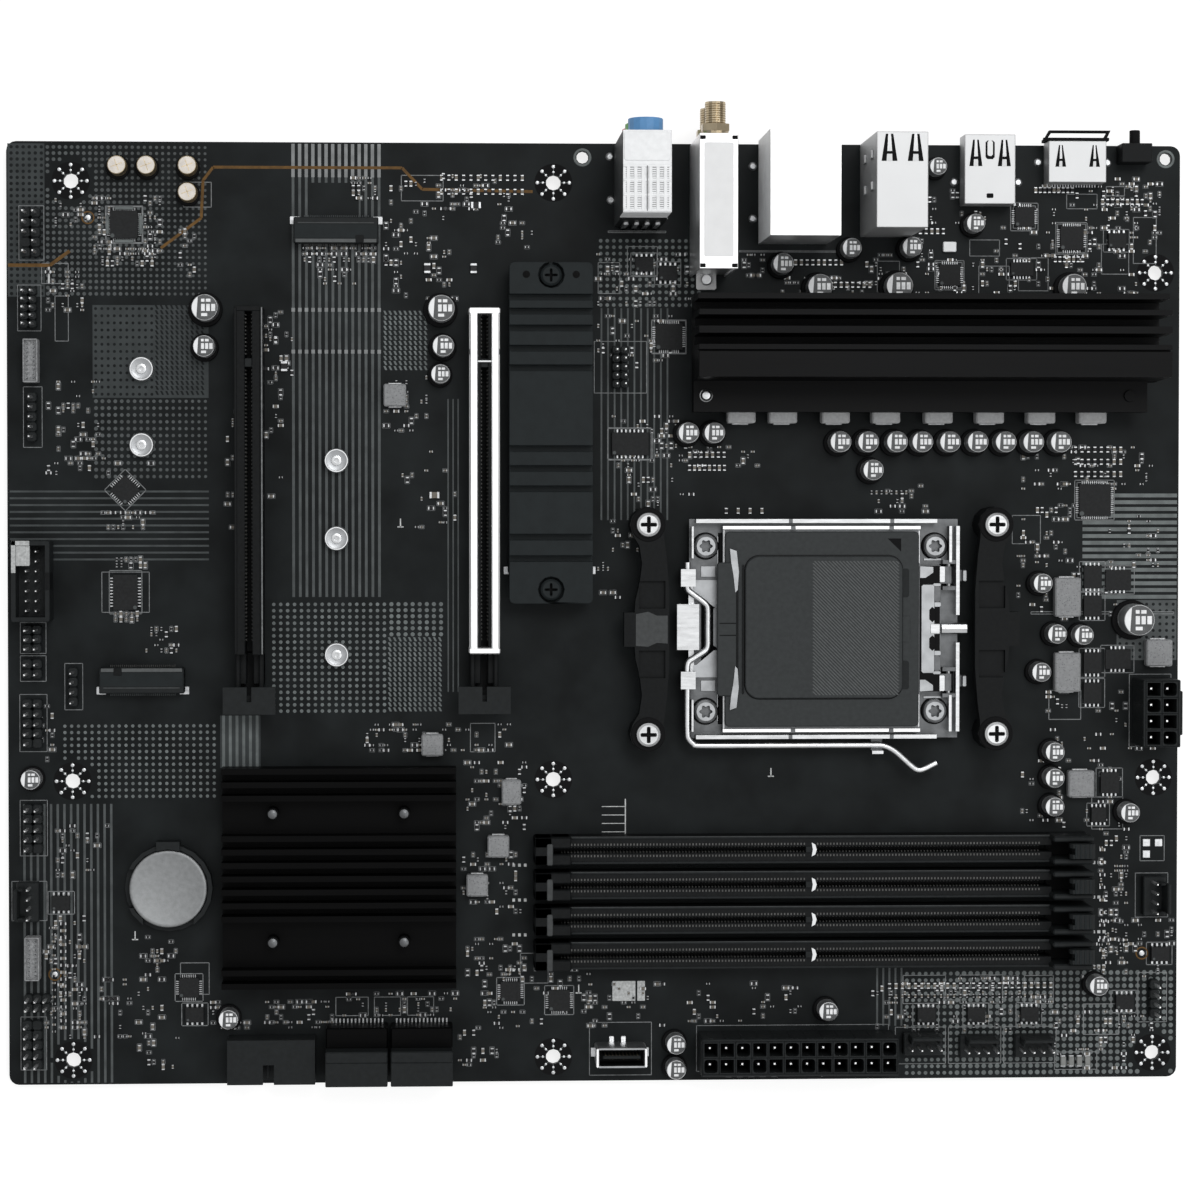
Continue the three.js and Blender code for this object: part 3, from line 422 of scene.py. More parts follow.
pads = Piece("screw_hole_pads")
for x, d in HOLES:
    pads.at(x, d)
    pads.loft(ring(4.9, 40), [(0.011, 0), (0.012, 2.85)], MATTE_BLACK, ends=OPEN)
    for i in range(8):
        t = math.radians(45 * i)
        c, s = math.cos(t), math.sin(t)
        pads.loft(ring(0.46, 12, 4.15 * c, 4.15 * s), [(0.02, 0), (0.06, 0.08)], SOLDER, ends=TOPPED)
        pads.loft(ring(0.30, 10, 2.75 * c, 2.75 * s), [(0.02, 0), (0.05, 0.06)], SOLDER, ends=TOPPED)
        ray = ((2.1, -0.14), (3.9, -0.05), (3.9, 0.05), (2.1, 0.14))
        pads.add([(a * c - b * s, a * s + b * c, 0.03) for a, b in ray], [[0, 1, 2, 3]], TRACE)
for x, d in ((148.5, 3.6), (301.0, 3.4)):
    pads.at(x, d).loft(ring(2.35, 24), [(0.02, 0), (0.05, 0.05), (0.05, 0.4), (0.0, 0.6)], TRACE, ends=OPEN)
for x, d in ((20.9, 19.6), (11.8, 215.2), (295.6, 211.3)):
    pads.at(x, d).loft(ring(1.7, 20), [(0.02, 0), (0.04, 0.04), (0.04, 0.35)], AMBER, ends=OPEN)
    pads.loft(ring(0.7, 14), [(0.02, 0), (0.04, 0.04)], SOLDER, ends=TOPPED)
pads.done()

# copper and mask patterns lie 0.004 to 0.022 mm up, each higher than what it covers
art = Piece("board_pattern")


def plane(x0, x1, d0, d1, mat=PATCH, lift=0.006):
    """Even patch, by default of the lighter mask over a copper plane."""
    art.tile(x0, x1, -d1, -d0, 0, mat, lift)


def dots(x0, x1, d0, d1, across, along, size, mat=TRACE, grow=0.0):
    """Field of round dots, spaced across and along; grow makes them larger towards the right."""
    nx, nd = round((x1 - x0) / across), round((d1 - d0) / along)
    for i in range(nx):
        for k in range(nd):
            x, d = x0 + (i + 0.5) * (x1 - x0) / nx, d0 + (k + 0.5) * (d1 - d0) / nd
            if clear(x, d, 0.4):
                r = size * (1 + grow * (i / nx - 0.5))
                pts = [(x + r * math.cos(a), -d + r * math.sin(a), 0.012)
                       for a in (math.pi * (q + 0.5) / 4 for q in range(8))]
                art.add(pts, [list(range(8))], mat)


def slants(x0, x1, d0, d1, mat=TRACE, pitch=1.3):
    """Grid of short diagonal strokes."""
    for k in range(int((d1 - d0) / pitch)):
        for q in range(int((x1 - x0) / pitch)):
            x, d = x0 + q * pitch, d0 + k * pitch
            if clear(x, d, 0.2):
                u, w = 0.42 * pitch, 0.8 * pitch
                corners = ((x, -d), (x + u, -d), (x + w, -d - w), (x + w - u, -d - w))
                art.add([(a, b, 0.014) for a, b in corners], [[3, 2, 1, 0]], mat)


def open_spans(low, high, across, axis):
    """Stretches of a trace from low to high that stay clear of the screw holes."""
    spans, start = [], low
    for hole in sorted(HOLES, key=lambda h: h[axis]):
        reach = PAD_REACH ** 2 - (hole[1 - axis] - across) ** 2
        if reach > 0 and low < hole[axis] < high:
            spans.append((start, hole[axis] - math.sqrt(reach)))
            start = hole[axis] + math.sqrt(reach)
    return [(a, b) for a, b in spans + [(start, high)] if b - a > 0.3]     # no stubs


def stripes(x0, x1, d0, d1, count, width, mat=TRACE_DIM, along="d", lift=0.012):
    """Parallel traces, along d or along x, that stop short of the screw holes."""
    for i in range(count):
        t = (i + 0.5) / count
        if along == "d":
            x = x0 + t * (x1 - x0)
            for a, b in open_spans(d0, d1, x, 1):
                art.tile(x - width / 2, x + width / 2, -b, -a, 0, mat, lift)
        else:
            d = d0 + t * (d1 - d0)
            for a, b in open_spans(x0, x1, d, 0):
                art.tile(a, b, -d - width / 2, -d + width / 2, 0, mat, lift)


def clear(x, d, gap):
    """True if no screw hole or its pads lie there."""
    near = [(h[0] - x) ** 2 + (h[1] - d) ** 2 for h in HOLES]
    return min(near) > (PAD_REACH + gap) ** 2


plane(0.3, 9.8, 0.6, 40.0)
dots(0.5, 9.8, 0.7, 40.0, 1.60, 1.57, 0.46, MASK)
dots(9.8, 30.0, 0.7, 40.0, 1.60, 1.57, 0.50, TRACE_DIM)
dots(30.0, 51.8, 0.7, 40.0, 1.60, 1.57, 0.42, TRACE_DIM, -0.2)
plane(22.0, 51.8, 42.1, 66.0)
dots(22.0, 38.0, 42.1, 66.0, 1.65, 1.78, 0.40, MASK)
slants(38.0, 51.8, 42.1, 66.0, MASK)
dots(22.0, 51.8, 66.0, 87.2, 1.65, 1.77, 0.47, TRACE_DIM, -0.25)
stripes(0.6, 51.8, 89.3, 108.6, 11, 0.5, TRACE_LOW, "x")
stripes(72.8, 96.7, 0.4, 117.5, 14, 0.7)
for d in (43.2, 54.0):
    for i in range(14):
        art.tile(73.2 + 1.707 * i, 74.1 + 1.707 * i, -d - 0.5, -d + 0.5, 0, TRACE_HOT, 0.018)
stripes(72.8, 96.7, 0.4, 9.0, 14, 0.85, TRACE_HOT, lift=0.016)
art.tile(77.4, 90.6, -19.6, -10.4, 0, MASK, 0.02)
plane(67.6, 112.7, 118.6, 147.9, MASK, 0.004)
dots(67.6, 98.0, 118.6, 147.9, 1.77, 1.65, 0.48)
dots(98.0, 112.7, 118.6, 128.0, 1.77, 1.65, 0.56)
stripes(113.0, 116.9, 66.2, 142.2, 3, 0.35)
dots(13.7, 53.9, 150.0, 169.9, 1.73, 1.71, 0.45)
plane(54.6, 65.0, 148.2, 161.8)
stripes(54.6, 65.0, 148.2, 161.8, 6, 0.75, TRACE)
stripes(3.2, 27.3, 171.0, 243.4, 14, 0.62)
dots(152.4, 179.7, 24.3, 42.6, 1.72, 1.67, 0.50)
stripes(152.6, 171.5, 42.6, 97.6, 11, 0.45)
stripes(279.5, 304.4, 90.3, 118.6, 16, 1.0, TRACE, "x")
plane(288.6, 304.4, 118.6, 134.3, TRACE_DIM, 0.008)
dots(288.6, 304.4, 118.8, 134.3, 1.72, 1.72, 0.42, MASK)
stripes(225.0, 233.0, 214.5, 230.0, 5, 0.5)
dots(232.8, 246.0, 215.5, 243.3, 1.75, 1.78, 0.52)
dots(246.0, 304.2, 215.5, 243.3, 1.75, 1.78, 0.64)
slants(96.9, 108.9, 43.4, 59.8)
slants(98.0, 112.7, 128.0, 147.9)


def trail(points, width):
    """Thin printed line through points given as (x, d)."""
    for (xa, da), (xb, db) in zip(points, points[1:]):
        a, b = Vector((xa, -da)), Vector((xb, -db))
        side = Vector((-(b - a).y, (b - a).x)).normalized() * width / 2
        quad = [a - side, b - side, b + side, a + side]
        art.add([(p.x, p.y, 0.022) for p in quad], [[0, 1, 2, 3]], AMBER)


trail([(0.4, 31.9), (11.1, 31.9), (16.2, 28.2)], 0.9)
trail([(39.6, 27.4), (50.0, 19.6), (50.5, 9.9), (53.1, 6.5), (101.8, 6.5), (107.0, 12.0), (135.6, 12.5)],
      0.75)
art.done()

legend = Piece("board_legend")


def frame_mark(x0, x1, d0, d1, width):
    """Printed outline round a part."""
    w = width / 2
    for d in (d0, d1):
        legend.tile(x0, x1, -d - w, -d + w, 0, DIM_PALE)
    for x in (x0, x1):
        legend.tile(x - w, x + w, -d1, -d0, 0, DIM_PALE)


# ---------------------------------------------------------------- small parts
cans = Piece("round_capacitors")


def capacitor(x, d, r, h=None, plain=False):
    """Can on a black foot: a pale crescent and printed bars on top, or crossed bars where plain."""
    h = h or r * 1.9
    cans.at(x, d)
    can, top = (CAN_WARM, CREAM) if plain else (CAN, CAN_TOP)
    cans.loft(ring(r * 1.14, 32, -0.06 * r, -0.05 * r), [(0, 0), (0.9, 0), (1.15, 0.2), (1.15, 0.4)], MATTE_BLACK)
    wall = [(0.9, 0), (1.3, 0), (1.7, 0.28), (2.1, 0), (h - 0.45, 0), (h - 0.12, 0.1), (h - 0.02, 0.25)]
    cans.loft(ring(r * 0.88, 32), wall, can, ends=FOOTED)
    cans.loft(ring(r * 0.88, 32), [(h - 0.02, 0.25), (h, 0.42)], top, ends=TOPPED)
    if plain:
        for turn in (20, 110):
            cans.at(x, d, 0, turn)
            cans.block(-r * 0.55, r * 0.55, -0.09, 0.09, h, h + 0.02, CAN_WARM, 0.02, 0.005)
        return
    mark = [(r * 0.83 * math.cos(math.radians(a)), r * 0.83 * math.sin(math.radians(a)))
            for a in range(122, 241, 12)]
    cans.loft(shape(mark), [(h - 0.03, 0), (h + 0.03, 0)], CRESCENT)
    edge = -0.36 * r
    for cy, tall, *widths in ((0.47, 0.1, 0.22, 0.3), (0.0, 0.23, 0.24, 0.24, 0.26), (-0.47, 0.1, 0.4, 0.0)):
        u = edge + 0.14 * r
        for w in widths:
            cans.block(u, u + w * r, (cy - tall) * r, (cy + tall) * r, h, h + 0.02, CAN_INK, 0.02, 0.005)
            u += (w + 0.09) * r


for x in (215.1, 222.3, 229.8, 236.4, 243.6, 250.8, 258.1, 265.3, 272.5):
    capacitor(x, 77.3, 3.15, 6.5)
for x, d in ((223.6, 84.6), (175.7, 75.0), (182.4, 75.0)):
    capacitor(x, d, 3.1, 6.5)
for x, d in ((28.8, 6.6), (36.3, 6.6), (46.8, 6.6), (46.8, 13.4)):
    capacitor(x, d, 2.75, 6.0, plain=True)
for x, d, r in ((51.3, 43.1, 3.9), (111.9, 43.1, 3.9), (51.0, 52.9, 3.2), (112.4, 52.7, 3.2),
                (111.7, 59.9, 2.85), (292.6, 123.5, 4.6)):
    capacitor(x, d, r)
for x, d in ((268.0, 114.0), (271.8, 127.2), (278.8, 127.5), (267.7, 137.1), (271.3, 157.9), (271.3, 164.7),
             (271.3, 172.2), (291.1, 173.8), (283.1, 219.0), (172.7, 233.6), (172.7, 240.1), (212.3, 225.2),
             (56.9, 226.3), (6.4, 164.2)):
    capacitor(x, d, 2.9, 6.0)
for x, d, r in ((250.2, 20.7, 2.8), (218.0, 27.2, 2.9), (233.7, 26.9, 3.0), (240.4, 6.1, 2.6),
                (200.2, 31.3, 3.1), (209.8, 37.2, 3.7), (230.4, 37.0, 4.0), (275.9, 37.0, 3.7)):
    capacitor(x, d, r, 6.0)
cans.done(slot="tin")

coils = Piece("chokes")


def choke(x, d, hx, hy, h=5.2, mat=FERRITE):
    """Moulded choke with soldered ends."""
    coils.at(x, d)
    coils.loft(rect(hx, hy, 0.5), [(0.5, 0), (h - 0.35, 0), (h, 0.35)], mat)
    coils.loft(rect(hx * 0.72, hy * 0.72, 0.4), [(h, 0), (h + 0.02, 0.05)], mat)
    for side in (-1, 1):
        coils.block(-hx * 0.6, hx * 0.6, side * hy - 0.35, side * hy + 0.35, 0, 1.0, SOLDER)


for x in (189.5, 200.3, 214.0, 227.1, 240.8, 254.2, 267.6, 281.0):
    choke(x, 68.9, 3.6, 3.6, mat=FERRITE_PALE)
for x, d, hx, hy in ((275.1, 117.7, 3.4, 5.1), (275.1, 137.3, 3.4, 5.1), (299.2, 132.3, 3.4, 3.5),
                     (278.8, 166.5, 3.4, 3.5), (99.9, 65.3, 2.9, 2.9), (109.5, 155.8, 2.8, 2.8),
                     (130.0, 168.1, 2.5, 3.2), (126.6, 182.2, 2.8, 2.8), (121.1, 192.3, 2.8, 2.8)):
    choke(x, d, hx, hy, 3.4)
coils.done()

chips = Piece("chips")


def lead_row(piece, y, count, pitch, way, length=0.9, mat=SOLDER):
    """Row of leads along x, reaching out from y; way is +1 or -1."""
    half = pitch * 0.225
    y0, y1 = sorted((y, y + way * length))
    for i in range(count):
        u = (i - (count - 1) / 2) * pitch
        piece.block(u - half, u + half, y0, y1, 0, 0.3, mat, 0.03, 0.08)


def chip(x, d, hx, hy, h, leads, pitch, sides=2, turn=0.0, mark=True):
    """Moulded package with leads on two or four sides, a printed frame and a dimple at pin one."""
    chips.at(x, d, 0, turn)
    lead_row(chips, hy - 0.1, leads, pitch, 1)
    lead_row(chips, -hy + 0.1, leads, pitch, -1)
    if sides == 4:
        for way in (90, -90):
            chips.at(x, d, 0, turn + way)
            lead_row(chips, hx - 0.1, leads, pitch, 1)
        chips.at(x, d, 0, turn)
    chips.loft(rect(hx, hy, 0.12, n=1), [(0.05, 0.06), (h * 0.5, 0), (h, 0.08)], PACKAGE)
    u, v = hx + 1.1, hy + 1.1
    for side in (-1, 1):
        a, b = sorted((side * v, side * (v - 0.2)))
        chips.tile(-u, u, a, b, 0, DIM_PALE, 0.025)
        a, b = sorted((side * u, side * (u - 0.2)))
        chips.tile(a, b, -v, v, 0, DIM_PALE, 0.025)
    if mark:
        dimple = ring(min(hx, hy) * 0.12 + 0.1, 12, -hx + 0.7, -hy + 0.7)
        chips.loft(dimple, [(h, 0), (h + 0.01, 0)], TRACE_DIM)


chip(30.2, 21.4, 3.6, 3.6, 1.4, 12, 0.5, 4)
for t in range(4):
    chips.at(30.2, 21.4, 0, 90 * t).block(-2.6, 2.6, 3.75, 4.7, 0.1, 0.5, TRACE, 0.4, 0.15)
for x, d, r in ((263.9, 18.6, 2.6), (276.3, 24.1, 3.1), (244.3, 33.8, 2.8), (46.4, 218.8, 2.6),
                (129.8, 220.3, 2.6), (142.5, 222.7, 2.8)):
    chip(x, d, r, r, 0.9, int(r * 3), 0.55, 4)
chip(282.6, 92.4, 4.2, 4.2, 1.0, 13, 0.55, 4)
chip(171.0, 50.0, 3.5, 3.4, 1.2, 10, 0.55, 4)
chip(30.3, 116.2, 4.6, 3.2, 1.1, 10, 0.8, turn=90)
chip(30.3, 89.8, 2.8, 2.8, 0.9, 7, 0.6, 4, turn=45)
chip(263.2, 32.2, 3.0, 1.8, 0.9, 6, 0.8)
chip(160.9, 77.8, 4.8, 3.0, 1.2, 7, 1.1)
for x, d in ((288.1, 24.7), (238.6, 227.1), (251.8, 227.1), (265.8, 227.1), (300.2, 211.4), (290.9, 224.0),
             (13.5, 196.6), (164.5, 31.2), (170.7, 33.5), (47.9, 225.8)):
    chip(x, d, 2.4, 1.95, 1.5, 4, 1.27)
for x, d, hx, hy in ((282.1, 112.5, 2.4, 3.0), (282.1, 120.1, 2.4, 2.8), (282.1, 135.0, 2.4, 2.8),
                     (282.1, 142.9, 2.4, 2.8), (288.8, 113.3, 3.4, 2.7), (288.8, 134.0, 3.4, 2.6),
                     (286.8, 166.4, 2.5, 2.8), (283.9, 174.8, 2.0, 2.0)):
    chip(x, d, hx, hy, 1.0, 4, 1.1, mark=False)
for i in range(8):
    chip(184.0 + i * 13.4, 57.0, 2.5, 3.0, 1.0, 5, 0.9, mark=False)
chips.done()

specks = Piece("chip_components")


def passive(x, d, kind, turn):
    """Two-terminal chip part of one of three sizes: a body between soldered ends."""
    l, w, h = ((0.5, 0.28, 0.32), (0.8, 0.42, 0.45), (1.3, 0.85, 0.9))[kind]
    specks.at(x, d, 0, turn)
    body = (RESISTOR, CERAMIC)[(int(x * 7) + int(d * 5)) % 2]
    specks.block(-l * 0.52, l * 0.52, -w * 0.94, w * 0.94, 0.04, h * 0.96, body, 0.04, 0.04)
    specks.blocks(SOLDER, (l * 0.5, l, -w, w, 0.0, h, 0.06, 0.08), both="x")


SPACING = 1.2      # of small parts, at least
FILL = 1.45        # grid cells filled for each part that a patch asks for
OUTLINED = 0.45    # share of small parts with a printed outline


def cluster(x0, x1, d0, d1, count):
    """Small parts scattered over a patch, on a grid, by seeded draws."""
    nx, nd = int((x1 - x0) / SPACING), int((d1 - d0) / SPACING)
    cells = [(i, k) for i in range(nx) for k in range(nd)]
    SEED.shuffle(cells)
    for i, k in cells[:int(count * FILL)]:
        kind = SEED.choice((0, 0, 1))
        turn = 90 if (k // 2 + int(x0)) % 2 else 0
        x, d = x0 + (i + 0.5) * (x1 - x0) / nx, d0 + (k + 0.5) * (d1 - d0) / nd
        if clear(x, d, 0.3):
            passive(x, d, kind, turn)
            if SEED.random() < OUTLINED:
                l, w = ((0.74, 0.5), (1.05, 0.66))[kind]
                for y in (-w, w - 0.1):
                    specks.tile(-l, l, y, y + 0.1, 0, DIM_PALE)
                for u in (-l, l - 0.1):
                    specks.tile(u, u + 0.1, -w, w, 0, DIM_PALE)


def strip(x, d, count, pitch, kind=1):
    """Row of like parts along x, or along d where the pitch is negative."""
    for i in range(count):
        if pitch > 0:
            passive(x + i * pitch, d, kind, 90)
        else:
            passive(x, d - i * pitch, kind, 0)


for patch in (
    (22, 27, 14, 29, 18), (35, 40, 14, 30, 18), (24, 38, 27, 32, 20), (12, 21, 12, 22, 12),
    (10, 20, 33, 44, 18), (10, 24, 60, 86, 26), (12, 40, 81, 86, 10), (24, 38, 95, 100, 14),
    (25, 36, 107, 110, 8), (27, 34, 121, 124, 8), (35, 44, 125, 132, 12), (8, 12, 145, 160, 8),
    (12, 26, 176, 190, 18), (9, 20, 200, 232, 44), (22, 40, 216, 232, 22), (34, 46, 205, 216, 12),
    (52, 62, 222, 230, 12), (66, 84, 222, 230, 24), (86, 116, 220, 227, 26), (56, 60, 64, 100, 10),
    (67, 74, 44, 70, 12), (97, 106, 10, 40, 24), (107, 130, 8, 20, 26), (108, 116, 24, 42, 14),
    (97, 110, 60, 75, 16), (100, 116, 78, 100, 12), (92, 108, 150, 158, 24), (112, 130, 150, 158, 14),
    (118, 134, 160, 178, 34), (117, 133, 184, 200, 28), (118, 134, 206, 216, 20), (120, 152, 214, 230, 34),
    (152, 166, 96, 122, 14), (152, 180, 28, 42, 34), (152, 172, 44, 58, 24), (156, 176, 70, 84, 30),
    (160, 180, 84, 94, 12), (176, 196, 78, 84, 12), (224, 240, 88, 96, 10), (186, 196, 38, 40, 5),
    (200, 222, 34, 39, 14), (222, 262, 28, 39, 34), (236, 300, 10, 22, 50), (256, 300, 22, 39, 66),
    (284, 300, 8, 22, 26), (262, 298, 78, 90, 34), (262, 278, 92, 110, 26), (286, 300, 96, 110, 14),
    (262, 290, 108, 124, 20), (270, 300, 142, 158, 26), (262, 290, 160, 178, 26), (284, 292, 178, 212, 40),
    (280, 304, 202, 218, 34), (224, 276, 217, 232, 60), (272, 300, 226, 242, 34), (150, 170, 218, 230, 18),
    (176, 206, 218, 229, 22), (234, 240, 16, 34, 8), (190, 196, 28, 36, 8), (44, 50, 20, 36, 8),
    (66, 71, 42, 92, 14), (126, 136, 20, 30, 8), (28, 44, 230, 240, 8), (116, 128, 228, 240, 12),
    (76, 95, 26.5, 31, 26), (80, 90, 31, 37, 10), (88.5, 95.5, 8.5, 15, 12),
):
    cluster(*patch)
for x, d, turn in ((120.9, 16.1, 0), (120.3, 32.4, 90), (108.3, 32.4, 90), (71.3, 57.8, 90),
                   (110.1, 91.1, 0)):
    passive(x, d, 2, turn)
specks.at(244.2, 26.5).block(-1.7, 1.7, -1.3, 1.3, 0, 1.2, PALE_GREY, 0.2, 0.15)
for row in ((112, 9.0, 12, 1.9), (112, 12.6, 12, 1.9), (176.4, 80.6, 7, 1.5), (176.4, 84.0, 8, 1.3),
            (277.5, 79.2, 8, 1.7), (277.5, 82.4, 8, 1.7), (277.5, 85.6, 8, 1.7), (236.6, 22.4, 5, 1.5),
            (266.8, 11.6, 9, 1.2), (258.6, 40.0, 12, 1.2), (284.4, 14.6, 9, 1.3), (272.0, 29.6, 7, 1.2),
            (204.0, 30.6, 9, 1.5), (214.4, 36.4, 7, 1.5), (186, 95.2, 4, 3.1), (224, 90.4, 8, 1.3, 0),
            (170, 212, 6, 1.6, 0), (229, 219.5, 26, 1.7), (229, 222.2, 26, 1.7, 0), (277, 60, 1, 1, 0),
            (285, 184, 9, -3.3), (14, 202, 16, -1.8), (11.5, 203, 16, -1.8, 0)):
    strip(*row)
specks.done()

# ---------------------------------------------------------------- printed legend
SLOT_ROWS = (182.9, 192.0, 201.1, 210.2)     # d of the four memory slots
for x0, x1, d0, d1 in (
    (3.2, 9.6, 16.6, 30.6), (2.8, 8.8, 37.0, 48.8), (12.4, 15.8, 39.8, 51.4), (4.2, 9.0, 63.2, 78.8),
    (3.2, 9.8, 124.0, 132.0), (3.2, 9.8, 132.6, 139.2), (14.6, 19.2, 134.6, 146.6), (3.0, 10.0, 142.6, 157.4),
    (3.0, 10.0, 170.0, 184.4), (0.8, 9.8, 191.0, 201.2), (3.0, 9.6, 226.2, 240.0), (24.2, 36.4, 111.0, 121.4),
    (150.4, 166.6, 228.6, 242.4), (151.6, 165.2, 51.2, 64.6), (155.2, 166.4, 73.6, 82.0),
    (293.8, 302.4, 190.2, 201.8), (294.6, 302.2, 216.4, 229.4), (295.0, 301.4, 180.4, 187.0),
    (244.6, 258.4, 230.4, 240.0), (259.2, 273.0, 230.4, 240.0), (230.6, 243.8, 230.4, 240.0),
    (272.6, 283.8, 237.2, 241.8), (178.4, 228.8, 229.6, 241.6), (292.0, 303.0, 138.0, 157.0),
    (266.0, 303.6, 121.6, 122.2), (189.2, 217.0, 27.6, 27.9), (155.2, 170.2, 22.6, 23.0),
):
    frame_mark(x0, x1, d0, d1, 0.18)
for d in (172.2, 174.4, 176.6, 178.8):
    legend.tile(153.6, 159.6, -d - 0.1, -d + 0.1, 0, SILK)
for d in SLOT_ROWS:
    for q in range(3):
        legend.tile(134.0 - 1.5 * q - 0.7, 134.0 - 1.5 * q, -d - 4.9, -d - 4.1, 0, SILK)
        legend.tile(282.4 + 1.4 * q, 283.2 + 1.4 * q, -d - 4.9, -d - 4.1, 0, SILK)
for x0, x1, y0, y1, ink in ((159.6, 159.9, -179.4, -170.2, SILK), (10.6, 11.1, -36.5, -31.9, SILK),
                            (65.7, 65.95, -131.0, -42.8, DIM_PALE), (26.4, 26.9, -27.4, -26.0, SILK)):
    legend.tile(x0, x1, y0, y1, 0, ink)
for k in range(9):
    legend.tile(186.0 + 3.0 * k, 187.6 + 3.0 * k, -243.2, -242.6, 0, DIM_PALE)
for x, d in ((197.8, 163.4), (147.6, 219.8), (101.3, 98.3), (32.5, 205.2)):
    legend.tile(x - 0.15, x + 0.15, -d - 1.1, -d + 1.1, 0, SILK)
    legend.tile(x - 0.8, x + 0.8, -d - 1.2, -d - 0.9, 0, SILK)
legend.blocks(LABEL_GREY, (156.4, 162.4, -223.0, -217.8, 0, 0.06, 0.1, 0.02),
              (162.9, 164.9, -223.0, -217.8, 0, 0.06, 0.1, 0.02))
for x0, x1, d0, d1 in (
    (285.4, 290.2, 10.6, 13.0), (249.6, 257.4, 24.6, 28.8), (252.0, 260.0, 31.4, 39.4),
    (275.0, 283.0, 12.6, 16.4), (284.2, 291.4, 25.6, 33.4), (292.6, 298.6, 18.6, 30.6),
    (262.4, 270.2, 29.2, 37.8), (225.4, 231.2, 30.2, 38.2), (152.6, 158.2, 30.8, 38.8),
    (160.2, 168.0, 26.6, 34.4), (9.0, 15.8, 31.4, 36.6), (45.4, 52.6, 10.4, 16.8),
    (101.6, 112.4, 8.4, 15.0), (119.4, 125.8, 150.4, 157.8), (132.4, 139.6, 210.4, 218.2),
    (84.4, 92.8, 221.6, 226.4), (94.4, 101.2, 221.6, 226.4), (103.0, 109.8, 221.6, 226.4),
    (44.2, 51.6, 212.4, 220.6), (261.0, 268.4, 96.4, 103.8), (270.8, 279.2, 142.2, 149.8),
    (282.2, 290.4, 170.2, 178.6), (232.6, 243.8, 216.8, 224.2), (247.6, 258.8, 216.8, 224.2),
    (264.6, 272.2, 217.0, 224.4), (280.2, 289.6, 224.6, 232.6), (25.4, 35.0, 16.6, 26.2),
    (278.0, 287.2, 87.8, 97.0), (166.6, 175.4, 45.8, 54.2), (261.0, 266.8, 15.7, 21.5),
    (272.6, 280.0, 20.4, 27.8), (241.0, 247.6, 30.5, 37.1),
):
    frame_mark(x0, x1, d0, d1, 0.2)
legend.done()

# ---------------------------------------------------------------- heatsinks
def lobed(count, inner, outer):
    """Outline of a star recess, as radius and angle."""
    return [((inner + outer) / 2 + (outer - inner) / 2 * math.cos(count * t), t)
            for t in (2 * math.pi * i / 48 for i in range(48))]


def crossed(half, length):
    """Outline of a four-armed recess, as radius and angle."""
    out = []
    for i in range(48):
        t = 2 * math.pi * i / 48
        c, s = abs(math.cos(t)) + 1e-6, abs(math.sin(t)) + 1e-6
        out.append((max(min(length / c, half / s), min(length / s, half / c)), t))
    return out


def screw(name, x, d, z, r, recess, mat, replaces, body="board", washer=None, height=1.8, floor=MATTE_BLACK):
    """Pan head with a sunk recess, whose floor is drawn in a darker material: painted shade at the bottom of
    the recess.
    """
    head = Piece(name).at(x, d, z)
    n = len(recess)
    if washer:
        head.loft(ring(washer, 40), [(-0.6, 0), (0.15, 0), (0.3, 0.2), (0.3, 0.9)], MATTE_BLACK)
    head.loft(ring(r, n), [(0.0, 0.1), (height * 0.5, 0), (height * 0.8, 0.18), (height, 0.75)], mat,
              ends=FOOTED)
    rows = [[((r - 0.75) * math.cos(t), (r - 0.75) * math.sin(t), height) for _, t in recess],
            [(q * math.cos(t), q * math.sin(t), height) for q, t in recess],
            [(q * 0.8 * math.cos(t), q * 0.8 * math.sin(t), height * 0.25) for q, t in recess]]
    points = [p for row in rows for p in row]
    head.add(points, skin(3, n), mat)
    # the recess floor in the darker material: painted shade
    head.add(rows[2], [list(range(n))], floor)
    head.loft(ring(r * 0.5, 16), [(-3.0, 0), (0.0, 0)], mat)
    head.done(body=body, replaces=replaces, slot="steel")


pins_top = Piece("heatsink_pins")
for x in (68.5, 102.2):
    for d in (172.9, 206.0):
        pins_top.at(x, d).loft(ring(1.45, 24), [(4.6, 0), (9.3, 0), (9.8, 0.3), (10.1, 0.9)], STEEL_DARK)
pins_top.at(179.6, 65.6).loft(ring(1.7, 24), [(11.9, 0), (12.3, 0), (12.6, 0.3), (12.75, 0.9)], STEEL)
module_dots = Piece("module_cover_marks")
for x in (133.6, 146.4):
    module_dots.at(x, 34.6).loft(ring(0.95, 20), [(9.9, 0), (10.02, 0), (10.03, 0.3)], DEEP_BLACK)
module_dots.done(body="module_cover")
pins_top.done(slot="steel")
for k, d in enumerate((34.7, 115.4)):
    screw(f"module_cover_screw_{k + 1}", 140.0, d, 7.4, 2.9, crossed(0.35, 1.7), ANODISED_GREY,
          (f"module_screw_{k + 1}",), "module_cover", height=1.9)

